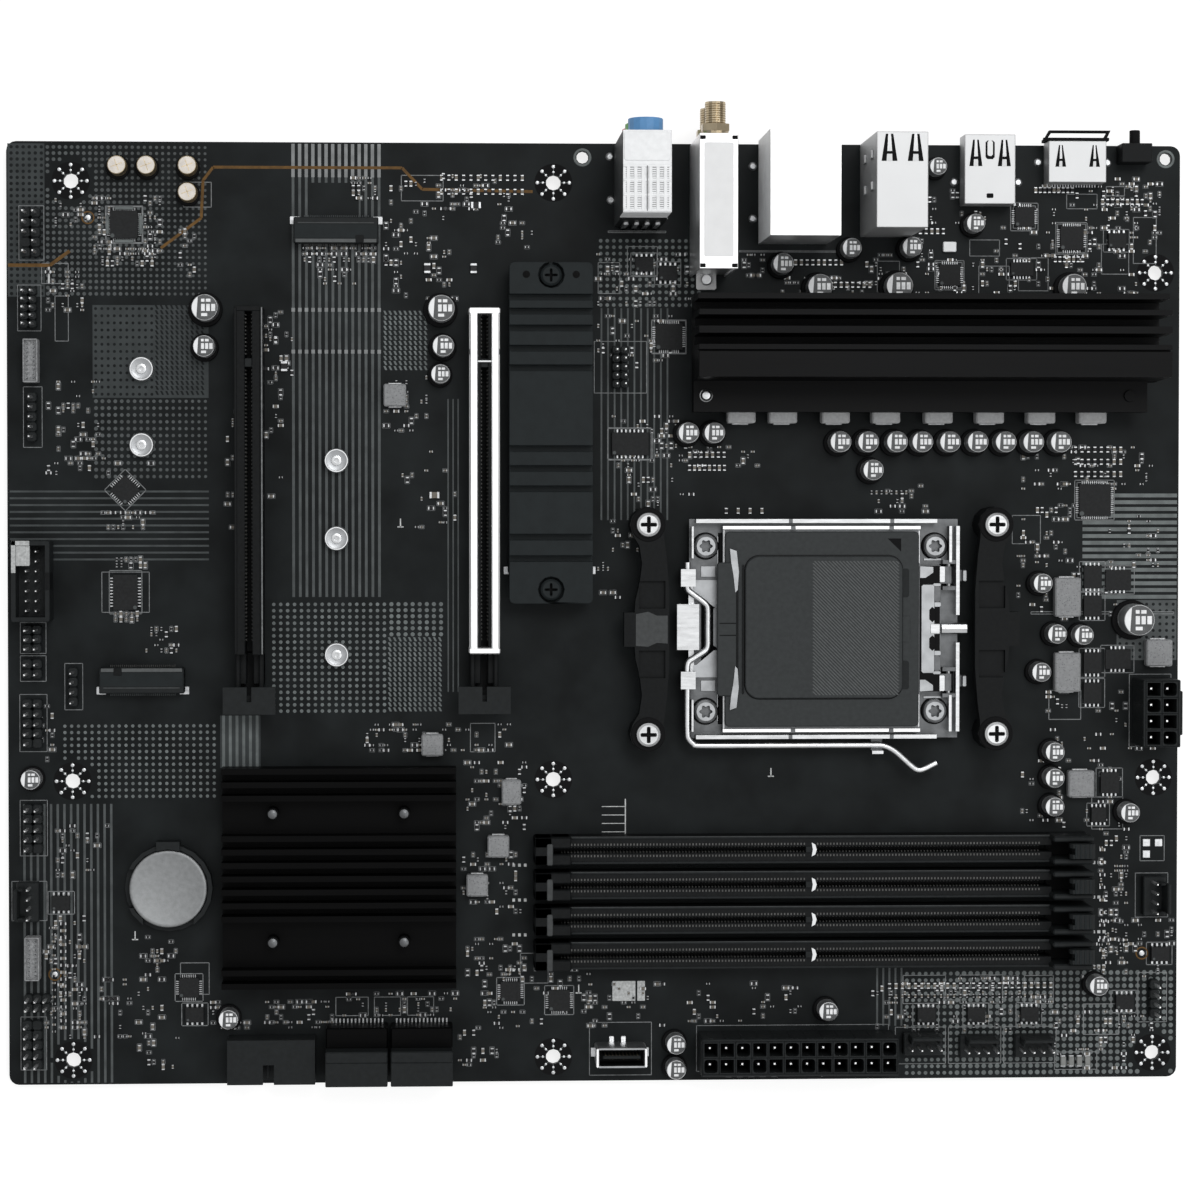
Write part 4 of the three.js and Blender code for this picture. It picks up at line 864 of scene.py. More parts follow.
posts = Piece("module_posts")
for x, d in ((84.8, 82.2), (84.8, 102.3), (84.8, 132.4), (34.7, 58.6), (34.7, 78.2)):
    posts.at(x, d)
    posts.loft(ring(3.2, 36), [(0, 0), (2.3, 0), (2.75, 0.25), (2.75, 0.5)], CAN, ends=FOOTED)
    posts.loft(ring(2.7, 36), [(2.75, 0), (2.62, 0.25), (2.62, 1.5)], STEEL_MID, ends=OPEN)
    posts.loft(ring(1.35, 30), [(2.4, 0), (2.95, 0.1), (3.0, 0.25), (3.0, 0.7), (1.8, 0.75)], STEEL,
               ends=TOPPED)
posts.at(180.7, 35.2).block(-2.6, 2.6, -2.6, 2.6, 0, 0.5, LABEL, 0.4, 0.1)
posts.loft(ring(1.5, 24), [(0.4, 0), (1.3, 0), (1.6, 0.3)], STEEL)
posts.done(slot="steel")

# ---------------------------------------------------------------- processor socket
plate = Piece("load_plate_details").at(SX, SD)
plate.tile(25.5, 30.8, -16.3, 16.3, 7.2, MATTE_BLACK)
plate.block(25.9, 29.4, -11.5, 11.5, 7.15, 7.5, STEEL_MID, 0.5, 0.12)
plate.blocks(STEEL_MID, (29.0, 31.1, 5.7, 6.9, 7.1, 7.24, 0.3, 0.05),
             (29.0, 31.1, 11.0, 11.8, 7.1, 7.24, 0.3, 0.05), both="y")
plate.blocks(STEEL_DARK, (29.2, 31.0, 6.9, 11.0, 7.1, 7.23, 0.5, 0.05), both="y")
plate.blocks(MATTE_BLACK, (28.0, 29.6, 1.7, 5.7, 7.3, 7.54, 0.8, 0.02), both="y")
plate.blocks(STEEL, (30.6, 32.2, 12.0, 16.2, 6.8, 7.22, 0.3, 0.1), both="y")
plate.slabs([(25.6, 13.2), (27.0, 13.2), (29.0, 14.6), (29.0, 16.0), (25.6, 16.2)],
            [(7.15, 0), (7.45, 0), (7.55, 0.1)], STEEL_MID)
plate.block(28.2, 30.9, -1.4, 1.4, 7.2, 7.6, STEEL, 0.3, 0.2)
for y in (-26.3, 26.1):
    plate.blocks(STEEL_DARK, (-8.0, -6.8, y - 0.5, y + 0.5, 7.9, 8.15, 0.1, 0.05),
                 (17.5, 18.7, y - 0.5, y + 0.5, 7.9, 8.15, 0.1, 0.05))
for x0, x1, y0, y1 in ((-25.4, -25.15, -26.0, 25.6), (25.25, 25.5, 17.0, 25.4), (25.25, 25.5, -25.4, -17.0)):
    plate.tile(x0, x1, y0, y1, 7.2, STEEL, 0.05)
plate.done(body="plate", slot="steel")

steelwork = Piece("socket_frame_details").at(SX, SD)
steelwork.slabs([(-33.0, 9.4), (-32.2, 9.4), (-27.6, 5.6), (-26.8, 5.6), (-26.8, 12.6), (-33.0, 12.6)],
                [(4.15, 0), (4.6, 0), (4.7, 0.1)], STEEL_MID)
steelwork.blocks(STEEL_MID, (-31.0, -27.2, 13.4, 16.2, 4.15, 4.5, 0.1, 0.06),
                 (27.0, 31.6, 17.6, 18.2, 4.15, 4.5, 0.1, 0.06),
                 (-26.8, -26.5, 13.0, 24.0, 4.15, 4.5, 0.1, 0.06),
                 (37.0, 38.2, 12.2, 15.2, 3.4, 5.4, 0.3, 0.2), both="y")
steelwork.blocks(STEEL_DARK, (35.7, 37.2, 12.2, 15.2, 3.4, 4.2, 0.2, 0.1),
                 (-8.5, -7.5, 27.35, 28.45, 7.5, 7.7, 0.1, 0.04),
                 (17.8, 18.8, 27.35, 28.45, 7.5, 7.7, 0.1, 0.04), both="y")
hook = [(-48.2, -4.2), (-45.0, -4.4), (-42.8, -3.4), (-40.0, -3.6), (-40.0, 3.6), (-42.8, 3.6), (-45.0, 4.6),
        (-48.2, 4.0)]
steelwork.loft(shape(hook), [(9.2, 0), (9.6, 0)], PLASTIC_LIGHT)
steelwork.done(slot="steel")

count = 0
for sy in (-1, 1):
    for sx in (-1, 1):
        count += 1
        screw(f"bracket_screw_head_{count}", SX + sx * 45, SD + sy * 27, 9.5, 3.2, crossed(0.5, 2.1), STEEL,
              (f"bracket_screw_{count}",), washer=4.4)
        screw(f"clamp_screw_head_{count}", SX + sx * 29.8, SD + sy * 21.4, 4.2, 3.15, lobed(6, 1.25, 1.75),
              STEEL_MID, (f"clamp_screw_{count}",), height=2.0, washer=3.55, floor=STEEL_DARK)

lever = Piece("lever_wire").at(SX, SD)
lever_path = [(x, y, 6.0) for x, y in (
    (-34.6, 17.2), (-34.6, 13.5), (-34.6, 10.4), (-33.0, 8.9), (-30.0, 6.6), (-29.3, 5.0), (-29.3, 0),
    (-29.3, -4.0), (-30.0, -5.6), (-33.0, -7.6), (-34.6, -9.2), (-34.6, -16), (-34.6, -26.5), (-34.2, -28.4),
    (-33.0, -29.7), (-31.0, -30.2), (-12, -30.2), (12.5, -30.2), (16.5, -30.4), (19.5, -31.9), (24.4, -36.2),
    (26.4, -36.6), (30.2, -34.8))]
lever.wire(smooth_path(lever_path), 0.85, STEEL, 16)
lever.done(body="lever", replaces=("load_lever",), slot="steel", crease=60)

cover = Piece("socket_cover_lid").at(SX, SD)
cover.loft(rect(25.15, 25.2, 1.2, 0.05, 0, n=4), [(7.25, 0), (8.15, 0), (8.4, 0.25)], DARK_MOULDING)
cover.loft(rect(20.2, 21.0, 1.0), [(5.2, 0), (7.3, 0)], PLASTIC_SOFT)
cover.loft(rect(20.7, 18.8, 4.0, 0.45, 0.5, n=7), [(8.35, 0), (8.5, 0.3)], PLASTIC)
cover.loft(rect(20.35, 18.3, 3.6, 0.45, 0.5, n=7), [(8.45, 0), (9.05, 0), (9.25, 0.22)], DARK_MOULDING)
# the cover's fine ridges are drawn flat in a paler grey: painted highlight along the real ridges
x_low, x_high, y_low, y_high, pitch = -2.6, 19.6, -17.0, 17.6, 0.92
c = x_low + y_low + pitch
while c < x_high + y_high:     # fine ridges that run down to the right, where x + y is c
    xa, xb = max(x_low, c - y_high), min(x_high, c - y_low)
    if xb - xa > 0.3:
        ridge = ((xa, c - xa), (xb, c - xb), (xb + 0.4, c - xb), (xa + 0.4, c - xa))
        cover.add([(x, y, 9.262) for x, y in ridge], [[0, 1, 2, 3]], HIGHLIGHT_GREY)
    c += pitch
cover.loft(rect(0.18, 16.6, 0.1, -20.4), [(8.3, 0), (9.02, 0)], PLASTIC)
cover.add([(17.0, 23.4, 8.42), (20.5, 20.0, 8.42), (20.5, 23.4, 8.42)], [[0, 1, 2]], MATTE_BLACK)
cover.block(-27.1, -21.9, -17.2, 17.2, 7.25, 8.95, DARK_MOULDING, 0.5, 0.2)
cover.block(-22.3, -21.7, -17.4, 17.4, 8.6, 9.02, PLASTIC, 0.1, 0.05)
cover.blocks(PLASTIC, (-26.6, -22.3, 1.4, 1.7, 8.8, 9.02, 0.1, 0.05), both="y")
cover.slabs([(-23.9, 20.8), (-22.2, 20.2), (-21.6, 15.0), (-21.9, 10.2), (-22.5, 9.5), (-23.0, 14.0),
             (-23.6, 17.4)], [(8.35, 0), (9.05, 0), (9.15, 0.1)], STEEL_MID)
cover.blocks(PLASTIC_SOFT, (19.6, 22.6, 8.2, 15.6, 8.3, 8.46, 0.4, 0.05), both="y")
cover.block(20.9, 22.9, -3.4, 3.4, 8.3, 8.5, DARK_MOULDING, 0.3, 0.08)
cover.done(body="cover", replaces=("socket_cover",), slot="black_plastic")

# ---------------------------------------------------------------- memory slots
# pale crescent on the key of each memory slot: a painted glint
painted_glint = [(71.9, -1.8), (72.8, -1.3), (73.2, 0), (72.8, 1.3), (71.9, 1.8), (72.2, 0)]
for k, d in enumerate(SLOT_ROWS):
    s = Piece(f"memory_slot_body_{k + 1}").at(135.8, d)
    s.blocks(PLASTIC, (4.6, 134.6, 0.8, 3.6, 0, 6.5, 0.1, 0.15),
             (0, 9.4, 0.8, 3.6, 0, 9.0, 0.4, 0.3), both="y")
    # the first box is a low ridge along each long top edge in the lighter black: painted highlight of the
    # edges
    s.blocks(PLASTIC_SOFT, (9.5, 134.0, 2.9, 3.55, 6.3, 6.8, 0.1, 0.15),
             (134, 144.6, 2.2, 3.6, 0, 11.6, 0.4, 0.35), both="y")
    for i in range(144):
        x = 6.9 + 0.85 * i + (2.6 if i > 74 else 0.0)     # a gap for the key
        # contact springs in the dim contact colour: painted shade inside the slot
        s.blocks(CONTACT, (x, x + 0.36, 1.2, 1.75, 6.3, 6.54, 0.02, 0.02),
                 (x + 0.05, x + 0.35, 0.5, 0.85, 2.4, 5.0, 0.02, 0.05), both="y")
    s.blocks(PLASTIC, (0, 4.6, -3.6, 3.6, 0, 9.0, 0.4, 0.3), (4.6, 132.0, -0.85, 0.85, 0, 1.4, 0.1, 0.02),
             (134, 144.6, -3.6, 3.6, 0, 1.0, 0.1, 0.05))
    s.blocks(PLASTIC_LIGHT, (3.1, 4.7, -3.6, 2.0, 8.6, 9.15, 0.3, 0.2),
             # the thin strip along the rear top edge in the lighter grey: painted highlight of that edge
             (9.5, 134.0, 3.38, 3.58, 6.6, 6.86, 0.05, 0.05))
    s.block(70.4, 72.6, -0.85, 0.85, 0, 6.4, PLASTIC_SOFT, 0.1, 0.1)
    s.loft(shape(painted_glint), [(6.3, 0), (6.62, 0)], PALE_GREY)
    s.done(replaces=(f"memory_slot_{k + 1}",), slot="black_plastic")
    tips = Piece(f"memory_latch_grip_{k + 1}").at(135.8, d)
    for q in range(4):
        tips.block(139.0 + 1.25 * q, 139.5 + 1.25 * q, -1.8, 1.8, 14.35, 14.55, ANODISED_GREY, 0.1, 0.08)
    tips.done(body=f"latch_{k + 1}", slot="black_plastic")

# ---------------------------------------------------------------- expansion slots
for k, x in enumerate((122.9, 62.6)):
    s = Piece(f"expansion_slot_body_{k + 1}").at(x, 42.8)
    s.blocks(PLASTIC, (0.9, 3.65, -89.2, -1.2, 0, 10.9, 0.15, 0.2),
             (2.35, 3.65, -104.9, -89.0, 0, 6.6, 0.3, 0.3),
             (0.9, 3.65, -97.0, -89.0, 0, 5.2, 0.2, 0.2), both="x")
    if k:
        s.blocks(PLASTIC, (2.9, 3.6, -89.0, -0.4, 10.7, 11.2, 0.1, 0.15), both="x")
        # pale line along the top of the right wall: painted highlight
        s.block(3.3, 3.6, -89.0, -0.4, 11.1, 11.35, DIM_PALE, 0.05, 0.05)
    for i in range(82):
        y = -2.2 - i - (2.2 if i > 10 else 0.0)     # a gap for the key
        s.blocks(PLASTIC, (0.92, 1.7, y - 0.25, y + 0.25, 10.7, 10.92, 0.02, 0.02), both="x")
        # contacts in the dim contact colour: painted shade inside the slot
        s.blocks(CONTACT, (0.6, 0.95, y - 0.2, y + 0.2, 4.0, 8.2, 0.02, 0.05), both="x")
    s.blocks(PLASTIC, (-3.65, 3.65, -1.4, 0, 0, 11.0, 0.3, 0.2),
             (-0.95, 0.95, -88.6, -1.0, 0, 2.2, 0.1, 0.02),
             (-3.65, 3.65, -104.9, -89.0, 0, 1.0, 0.2, 0.1))
    s.block(-0.95, 0.95, -15.6, -13.4, 0, 10.4, PLASTIC_SOFT, 0.1, 0.1)
    s.done(replaces=(f"expansion_slot_{k + 1}",), slot="black_plastic")
shield = Piece("slot_shield_cover").at(122.9, 42.8)
shield.blocks(BRIGHT_METAL, (1.75, 3.75, -87.6, -1.8, 10.95, 11.6, 0.2, 0.25),
              (3.66, 3.9, -88.8, -0.6, 1.2, 11.3, 0.1, 0.1), both="x")
shield.blocks(STEEL_DARK, (3.66, 3.9, -12.4, -11.0, 9.0, 11.5, 0.1, 0.1), both="x")
for y in (-88.2, -1.2):
    shield.block(-4.05, 4.05, y - 0.8, y + 0.8, 1.2, 11.6, BRIGHT_METAL, 0.35, 0.25)
shield.block(-1.75, 1.75, -14.3, -13.9, 10.6, 11.3, PALE_GREY, 0.05, 0.05)
shield.done(replaces=("slot_shield",), slot="tin")

# ---------------------------------------------------------------- upright headers


def cup(piece, outline, top, wall, floor, mat, inner=None):
    """Open box on the board: outer walls, rim, inner walls and floor."""
    piece.loft(outline, [(0, 0), (top - 0.12, 0), (top, 0.12), (top, wall)], mat, ends=FOOTED)
    piece.loft(outline, [(top, wall), (floor, wall)], inner or mat, ends=TOPPED)


def pin(piece, x, y, z0, z1, mat=BRIGHT_METAL, r=0.32):
    """Square pin with a tapered tip."""
    piece.loft(rect(r, r, 0.06, x, y, 1), [(z0, 0), (z1 - 0.45, 0), (z1, r * 0.55)], mat, ends=TOPPED)


def power_header(name, x, d, columns, turn, node):
    """Keyed cells in two rows, latch ramp on the front, contacts inside."""
    p = Piece(name).at(x, d, 0, turn)
    reach = 2.1     # half the width of a cell
    half = columns * reach
    for c in range(columns):
        cx = (c - (columns - 1) / 2) * 2 * reach
        for row, y in enumerate((-reach, reach)):
            cell = rect(reach, reach, 0.12, cx, y)
            p.loft(cell, [(0, 0), (12.65, 0), (12.8, 0.15)], PLASTIC_SOFT, ends=FOOTED)
            rim, hole = cell(0.15), rect(reach, reach, 0.25 if (c + row) % 3 else 1.1, cx, y)(0.38)
            n = len(rim)
            well = [(*q, 12.8) for q in rim + hole] + [(*q, 2.4) for q in hole]
            p.add(well, skin(3, n) + [list(range(2 * n, 3 * n))], PLASTIC_SOFT)
            pin(p, cx, y, 2.4, 9.6, BRIGHT_METAL, 0.5)
        p.block(cx - 0.35, cx + 0.35, 4.8, 4.95, 1.0, 12.0, PLASTIC_SOFT, 0.05, 0.05)
    p.blocks(PLASTIC_SOFT, (-half - 0.2, half + 0.2, 4.15, 4.85, 0, 12.75, 0.2, 0.2), both="y")
    p.blocks(PLASTIC_SOFT, (half, half + 0.3, -4.8, 4.8, 0, 12.75, 0.2, 0.15), both="x")
    p.blocks(PLASTIC_SOFT, (-5.7, 5.7, -5.3, -4.7, 4.0, 10.8, 0.2, 0.2),
             (-5.7, 5.7, -5.9, -5.2, 8.8, 10.8, 0.2, 0.3))
    p.done(replaces=(node,), slot="black_plastic")


power_header("board_power_housing", 204.1, 235.9, 12, 0, "board_power")
power_header("processor_power_housing", 297.6, 147.5, 4, 90, "processor_power")


def fan_header(piece, x, d, turn=0):
    """Four pins on a base with a rear guide wall."""
    piece.at(x, d, 0, turn)
    piece.block(-5.15, 5.15, -2.9, 2.9, 0, 3.0, PLASTIC_SOFT, 0.3, 0.25)
    piece.block(-3.9, 3.9, 1.9, 2.85, 2.9, 9.6, PLASTIC_SOFT, 0.2, 0.3)
    piece.blocks(PLASTIC_SOFT, (3.4, 3.9, 0.6, 2.0, 2.9, 8.0, 0.1, 0.2), both="x")
    for i in range(4):
        pin(piece, (i - 1.5) * TENTH, -0.6, 2.9, 9.2)


fan = Piece("fan_header_housing")
fan_header(fan, 237.5, 234.4)
fan.done(replaces=("fan_header_1",), slot="black_plastic")
fans = Piece("fan_headers")
for x, d, turn in ((252.3, 235.1, 0), (266.8, 235.1, 0), (5.2, 196.1, 90), (298.2, 196.0, -90)):
    fan_header(fans, x, d, turn)
fans.done(slot="black_plastic")

heads = Piece("pin_headers")
for x, d, cols, rows, pitch, height, *missing in (
    (6.4, 23.6, 2, 5, TENTH, 8.4, (0, 1)), (5.8, 42.9, 2, 5, 2.1, 7.4), (6.6, 71.0, 1, 5, TENTH, 8.4),
    (6.5, 128.2, 2, 3, 2.4, 8.4), (6.5, 135.9, 2, 2, TENTH, 8.4), (16.9, 140.6, 1, 4, TENTH, 8.4),
    (6.5, 150.0, 2, 5, TENTH, 8.4, (1, 0)), (6.5, 177.2, 2, 5, TENTH, 8.4, (1, 0)),
    (7.5, 222.3, 3, 2, 2.3, 8.4), (6.2, 233.1, 2, 5, TENTH, 8.4, (1, 4)),
    (158.3, 57.9, 2, 5, 2.2, 7.0), (298.5, 223.0, 1, 4, TENTH, 8.4),
):
    heads.at(x, d)
    w = pitch * 0.49
    for c in range(cols):
        for r in range(rows):
            px, py = (c - (cols - 1) / 2) * pitch, (r - (rows - 1) / 2) * pitch
            heads.block(px - w, px + w, py - w, py + w, 0, 2.4, PLASTIC_SOFT, 0.5, 0.2)
            if (c, r) not in missing:
                pin(heads, px, py, 2.3, height)
for x, d in ((6.5, 56.6), (6.4, 210.6)):
    heads.at(x, d)
    cup(heads, rect(1.9, 5.6, 0.3), 4.6, 0.35, 3.6, HOUSING_GREY)
    for i in range(9):
        for s in (-0.8, 0.8):
            pin(heads, s, -4.4 + 1.1 * i, 3.6, 4.4, STEEL_MID, 0.2)
heads.at(298.2, 183.7)
for px, py in ((-1.6, 1.5), (1.6, 1.5), (-1.6, -1.5)):
    heads.block(px - 1.0, px + 1.0, py - 1.0, py + 1.0, 0, 0.5, SOLDER, 0.1, 0.1)
for i in range(4):
    heads.at(274.8 + 2.15 * i, 239.5).block(-0.7, 0.7, -1.2, 1.2, 0, 0.9, LAMP, 0.1, 0.15)
    heads.blocks(SOLDER, (-0.65, 0.65, 0.95, 1.5, 0, 0.4, 0.05, 0.1), both="y")
heads.done(slot="black_plastic")

panel = Piece("panel_usbc_shell").at(158.3, 236.3)
cup(panel, rect(6.5, 2.6, 0.8, n=4), 9.2, 0.5, 2.4, STEEL_MID, PLASTIC)
panel.blocks(BRIGHT_METAL, (5.9, 6.6, -2.5, 2.5, 0.2, 9.24, 0.3, 0.1), both="x")
panel.blocks(BRIGHT_METAL, (-2.8, -1.5, 2.3, 4.2, 0.2, 0.6, 0.2, 0.1), (0.3, 1.6, 2.3, 4.2, 0.2, 0.6, 0.2, 0.1))
panel.loft(rect(4.9, 0.45, 0.15), [(2.3, 0), (8.2, 0), (8.4, 0.15)], PLASTIC_SOFT)
for i in range(10):
    panel.blocks(GOLD, (-4.3 + 0.92 * i, -3.9 + 0.92 * i, 0.44, 0.52, 3.5, 8.0, 0.02, 0.05), both="y")
panel.blocks(SOLDER, (6.4, 7.6, -1.2, 1.2, 0, 0.5, 0.1, 0.1), both="x")
panel.done(replaces=("panel_usbc_header",), slot="tin")

shell = Piece("box_header_shell").at(6.9, 102.8)
cup(shell, rect(4.9, 10.35, 0.5, 0, -10.35), 8.8, 1.15, 2.2, PLASTIC_SOFT)
shell.block(3.65, 4.95, -12.6, -8.1, 2.2, 8.86, PLASTIC, 0.1, 0.05)
shell.blocks(LABEL_GREY, (-4.85, -0.2, -1.15, 0.0, 8.8, 8.9, 0.1, 0.03),
             (-4.85, -3.75, -8.2, 0.0, 8.8, 8.9, 0.1, 0.03), (-3.8, -0.2, -6.4, -1.1, 7.6, 8.4, 0.2, 0.05))
for i in range(7):
    for x in (-1.27, 1.27):
        pin(shell, x, -10.35 + (i - 3) * TENTH, 2.2, 8.0)
shell.done(replaces=("box_header",), slot="black_plastic")

# ---------------------------------------------------------------- edge connectors
for k, (x, d, turn) in enumerate(((84.8, 19.6, 0), (34.7, 142.2, 180), (140.0, 111.2, 180))):
    m = Piece(f"module_connector_body_{k + 1}").at(x, d, 0, turn)
    m.blocks(PLASTIC_SOFT, (-10.9, 10.9, -6.6, 0, 2.9, 4.2, 0.3, 0.25),
             (-10.9, 10.9, -6.6, 0, 0, 1.6, 0.3, 0.1), (-10.9, 10.9, -2.0, 0, 0, 4.1, 0.3, 0.2))
    m.blocks(PLASTIC_SOFT, (10.1, 10.9, -6.6, 0, 0, 4.1, 0.2, 0.2), both="x")
    m.blocks(SOLDER, (9.4, 12.0, -1.6, 0.5, 0, 0.4, 0.2, 0.1), both="x")
    lead_row(m, -0.1, 34, 0.5, 1, 0.9, TRACE_DIM)
    # the leads in the mouth in the dim contact colour: painted shade
    lead_row(m, -6.5, 34, 0.5, -1, 0.7, CONTACT)
    m.blocks(PLASTIC, (5.6, 6.8, -6.4, -1.8, 1.5, 3.0, 0.1, 0.05),
             (5.0, 7.2, -6.55, -4.6, 4.18, 4.32, 0.2, 0.05))
    m.block(-10.6, 10.6, -5.4, -1.8, 4.15, 4.26, ANODISED_GREY, 0.2, 0.05)
    # the two pale strips across the top are painted highlights
    m.block(-10.4, 10.4, -6.5, -5.6, 4.15, 4.3, HIGHLIGHT_GREY, 0.1, 0.05)
    m.block(-9.8, 9.8, -1.6, -1.3, 4.15, 4.24, PLASTIC_LIGHT, 0.05, 0.05)
    m.done(replaces=(f"module_connector_{k + 1}",), slot="black_plastic")

for k, x in enumerate((90.0, 106.7)):
    s = Piece(f"storage_stack_body_{k + 1}").at(x, 228.2)
    # the low rear block in the deepest black: painted shade behind the taller front
    s.block(-7.95, 7.95, -5.4, 0, 0, 8.6, DEEP_BLACK, 0.3, 0.3)
    s.block(-7.95, 7.95, -8.2, -5.2, 0, 14.2, PLASTIC_SOFT, 0.3, 0.3)
    for z, tall in ((3.8, 3.0), (10.6, 3.2)):
        mouth = rect(7.95, tall, 0.3)
        rim = [(8.0, 0), (14.05, 0), (14.2, 0.15), (14.2, 0.9)]
        s.loft(mouth, rim, PLASTIC_SOFT, "front", (0, 0, z), ends=OPEN)
        s.loft(mouth, [(14.2, 0.9), (8.2, 0.9)], PLASTIC, "front", (0, 0, z), ends=TOPPED)
        s.blocks(PLASTIC_SOFT, (-5.4, 5.0, -13.4, -7.9, z - 0.2, z + 1.0, 0.1, 0.1),
                 (3.8, 5.0, -13.4, -7.9, z - 1.3, z + 0.9, 0.1, 0.1))
        for i in range(7):
            s.block(-4.4 + 1.27 * i, -3.9 + 1.27 * i, -13.0, -8.2, z - 0.3, z - 0.18, GOLD, 0.02, 0.02)
    s.blocks(PLASTIC_SOFT, (-7.95, 7.95, -14.2, -8.0, 0, 0.9, 0.2, 0.1),
             (-7.95, 7.95, -14.2, -8.0, 6.7, 7.5, 0.2, 0.1), (-7.95, 7.95, -14.2, -8.0, 13.4, 14.2, 0.2, 0.2))
    lead_row(s, -0.1, 14, 1.0, 1, 1.2)
    s.done(replaces=(f"storage_stack_{k + 1}",), slot="black_plastic")

cell = Piece("coin_cell_body").at(41.4, 192.6)
cell.loft(ring(9.0, 64), [(1.2, 0.2), (1.4, 0), (2.2, 0)], CELL)
cell.loft(ring(10.0, 72), [(2.0, 0.3), (2.3, 0), (4.1, 0), (4.3, 0.12), (4.4, 0.35), (4.4, 0.9), (4.36, 1.0)],
          CELL)
cell.done(body="cell", replaces=("coin_cell",), slot="steel", crease=50)

rear = Piece("rear_connector_details")
rear.at(162.8, 0)
for i in range(6):
    rear.block(-5.2 + 1.85 * i, -4.3 + 1.85 * i, -20.6, -9.6, 34.9, 35.25, PALE_GREY, 0.15, 0.12)
for y in (-20.4, -16.6, -12.9, -9.4):
    rear.block(-5.9, 5.9, y - 0.35, y + 0.35, 34.9, 35.2, PALE_GREY, 0.1, 0.1)
rear.block(-5.8, 5.8, -8.2, -1.0, 34.9, 35.2, PALE_GREY, 0.5, 0.15)
rear.block(-0.15, 0.15, -20.6, -9.4, 35.15, 35.3, HOUSING_GREY, 0.05, 0.02)
for i in range(20):
    y = -20.2 + 0.54 * i
    rear.blocks(HOUSING_GREY, (0.8, 5.4, y, y + 0.2, 34.96, 35.04, 0.05, 0.02), both="x")
for top in (5.5, 16.0):
    for i in range(4):
        rear.block(-4.6 + 2.7 * i, -3.4 + 2.7 * i, -22.4, -21.5, 0, top, STEEL, 0.1, 0.2)
rear.at(181.2, 0)
rear.block(-3.75, 3.75, -31.4, -2.8, 28.95, 29.12, LABEL, 0.3, 0.05)
for x in (-4.35, 4.15):
    rear.tile(x, x + 0.2, -34.0, -0.8, 28.9, STEEL_DARK, 0.03)
rear.blocks(MATTE_BLACK, (3.3, 4.7, -34.1, -33.1, 28.9, 29.06, 0.1, 0.02),
            (3.3, 4.7, -2.1, -1.1, 28.9, 29.06, 0.1, 0.02), both="x")
for z in (22.0, 8.5):
    for i in range(9):
        start = 2.5 + 0.58 * i     # one turn of the aerial socket's thread
        turn = [(start, 0.25), (start + 0.2, 0), (start + 0.4, 0.25)]
        rear.at(180.9, 0, z).loft(ring(2.72, 28), turn, GOLD, "rear", ends=OPEN)


def spring(x, y0, y1, z, wide, narrow, half):
    """Contact spring, narrow at the mouth, in a window that widens inwards, drawn as a black sheet: painted
    shade seen through the cut-out.
    """
    window = [(x - wide, y0), (x + wide, y0), (x + narrow, y1), (x - narrow, y1)]
    rear.loft(shape(window), [(z - 0.02, 0), (z + 0.03, 0)], MATTE_BLACK)
    pts = []
    for t in (i / 6 for i in range(7)):
        y, w = y0 + (y1 - y0) * t, half * (1 - 0.55 * t)
        h = z + 0.06 + 0.2 * math.sin(math.pi * t)
        pts += [(x - w, y, h), (x + w, y, h)]
    rear.add(pts, [[2 * i, 2 * i + 1, 2 * i + 3, 2 * i + 2] for i in range(6)], TIN_SOFT)
    bar, long = wide * 0.75, y1 - y0
    rear.block(x - bar, x + bar, y0 + 0.26 * long, y0 + 0.36 * long, z + 0.2, z + 0.32, MATTE_BLACK, 0.05, 0.02)


rear.at(203.2, 0)
for x0, x1, y0, y1 in ((-8.5, 8.6, 0.5, 0.62), (8.4, 8.52, -25.6, 0.5), (-8.5, 8.6, -25.6, -25.4),
                       (-8.5, -8.4, -25.6, 0.5)):
    rear.tile(x0, x1, y0, y1, 28.0, PALE_GREY)
rear.at(227.3, 0)
for x in (-3.3, 3.3):
    spring(x, -7.4, -0.6, 29.6, 2.0, 0.95, 0.75)
for y in (-5.0, -13.0):
    for z in (8.0, 20.0):
        rear.block(-7.0, -6.7, y - 1.2, y + 1.2, z, z + 4.0, TIN_SOFT, 0.2, 0.4)
rear.at(253.5, 0)
for x in (-3.7, 3.7):
    spring(x, -6.2, 0.6, 7.4, 1.7, 0.75, 0.62)
rear.blocks(MATTE_BLACK, (-1.2, 1.2, -4.4, 0.4, 7.38, 7.44, 0.5, 0.02),
            (-0.9, 0.9, -14.4, -13.2, 7.38, 7.44, 0.2, 0.02))
rear.block(-0.7, 0.7, -3.6, 0.4, 7.4, 7.5, TIN_SOFT, 0.4, 0.02)
rear.at(276.4, 0)
for x in (-4.4, 4.4):
    spring(x, -6.2, -0.6, 6.8, 1.4, 0.5, 0.42)
lead_row(rear, -10.1, 18, 0.7, -1, 0.8)
rear.done(slot="tin")

joints = Piece("through_hole_joints")
for x, d in ((155.6, 3.4), (155.9, 14.6), (192.8, 5.7), (192.8, 19.3), (214.6, 9.0), (214.6, 19.0),
             (245.4, 9.6), (262.2, 9.6), (267.4, 4.4), (285.6, 4.4)):
    joints.at(x, d).loft(ring(1.15, 20), [(0, 0), (0.3, 0.12), (0.6, 0.5)], SOLDER)
joints.done(slot="tin")

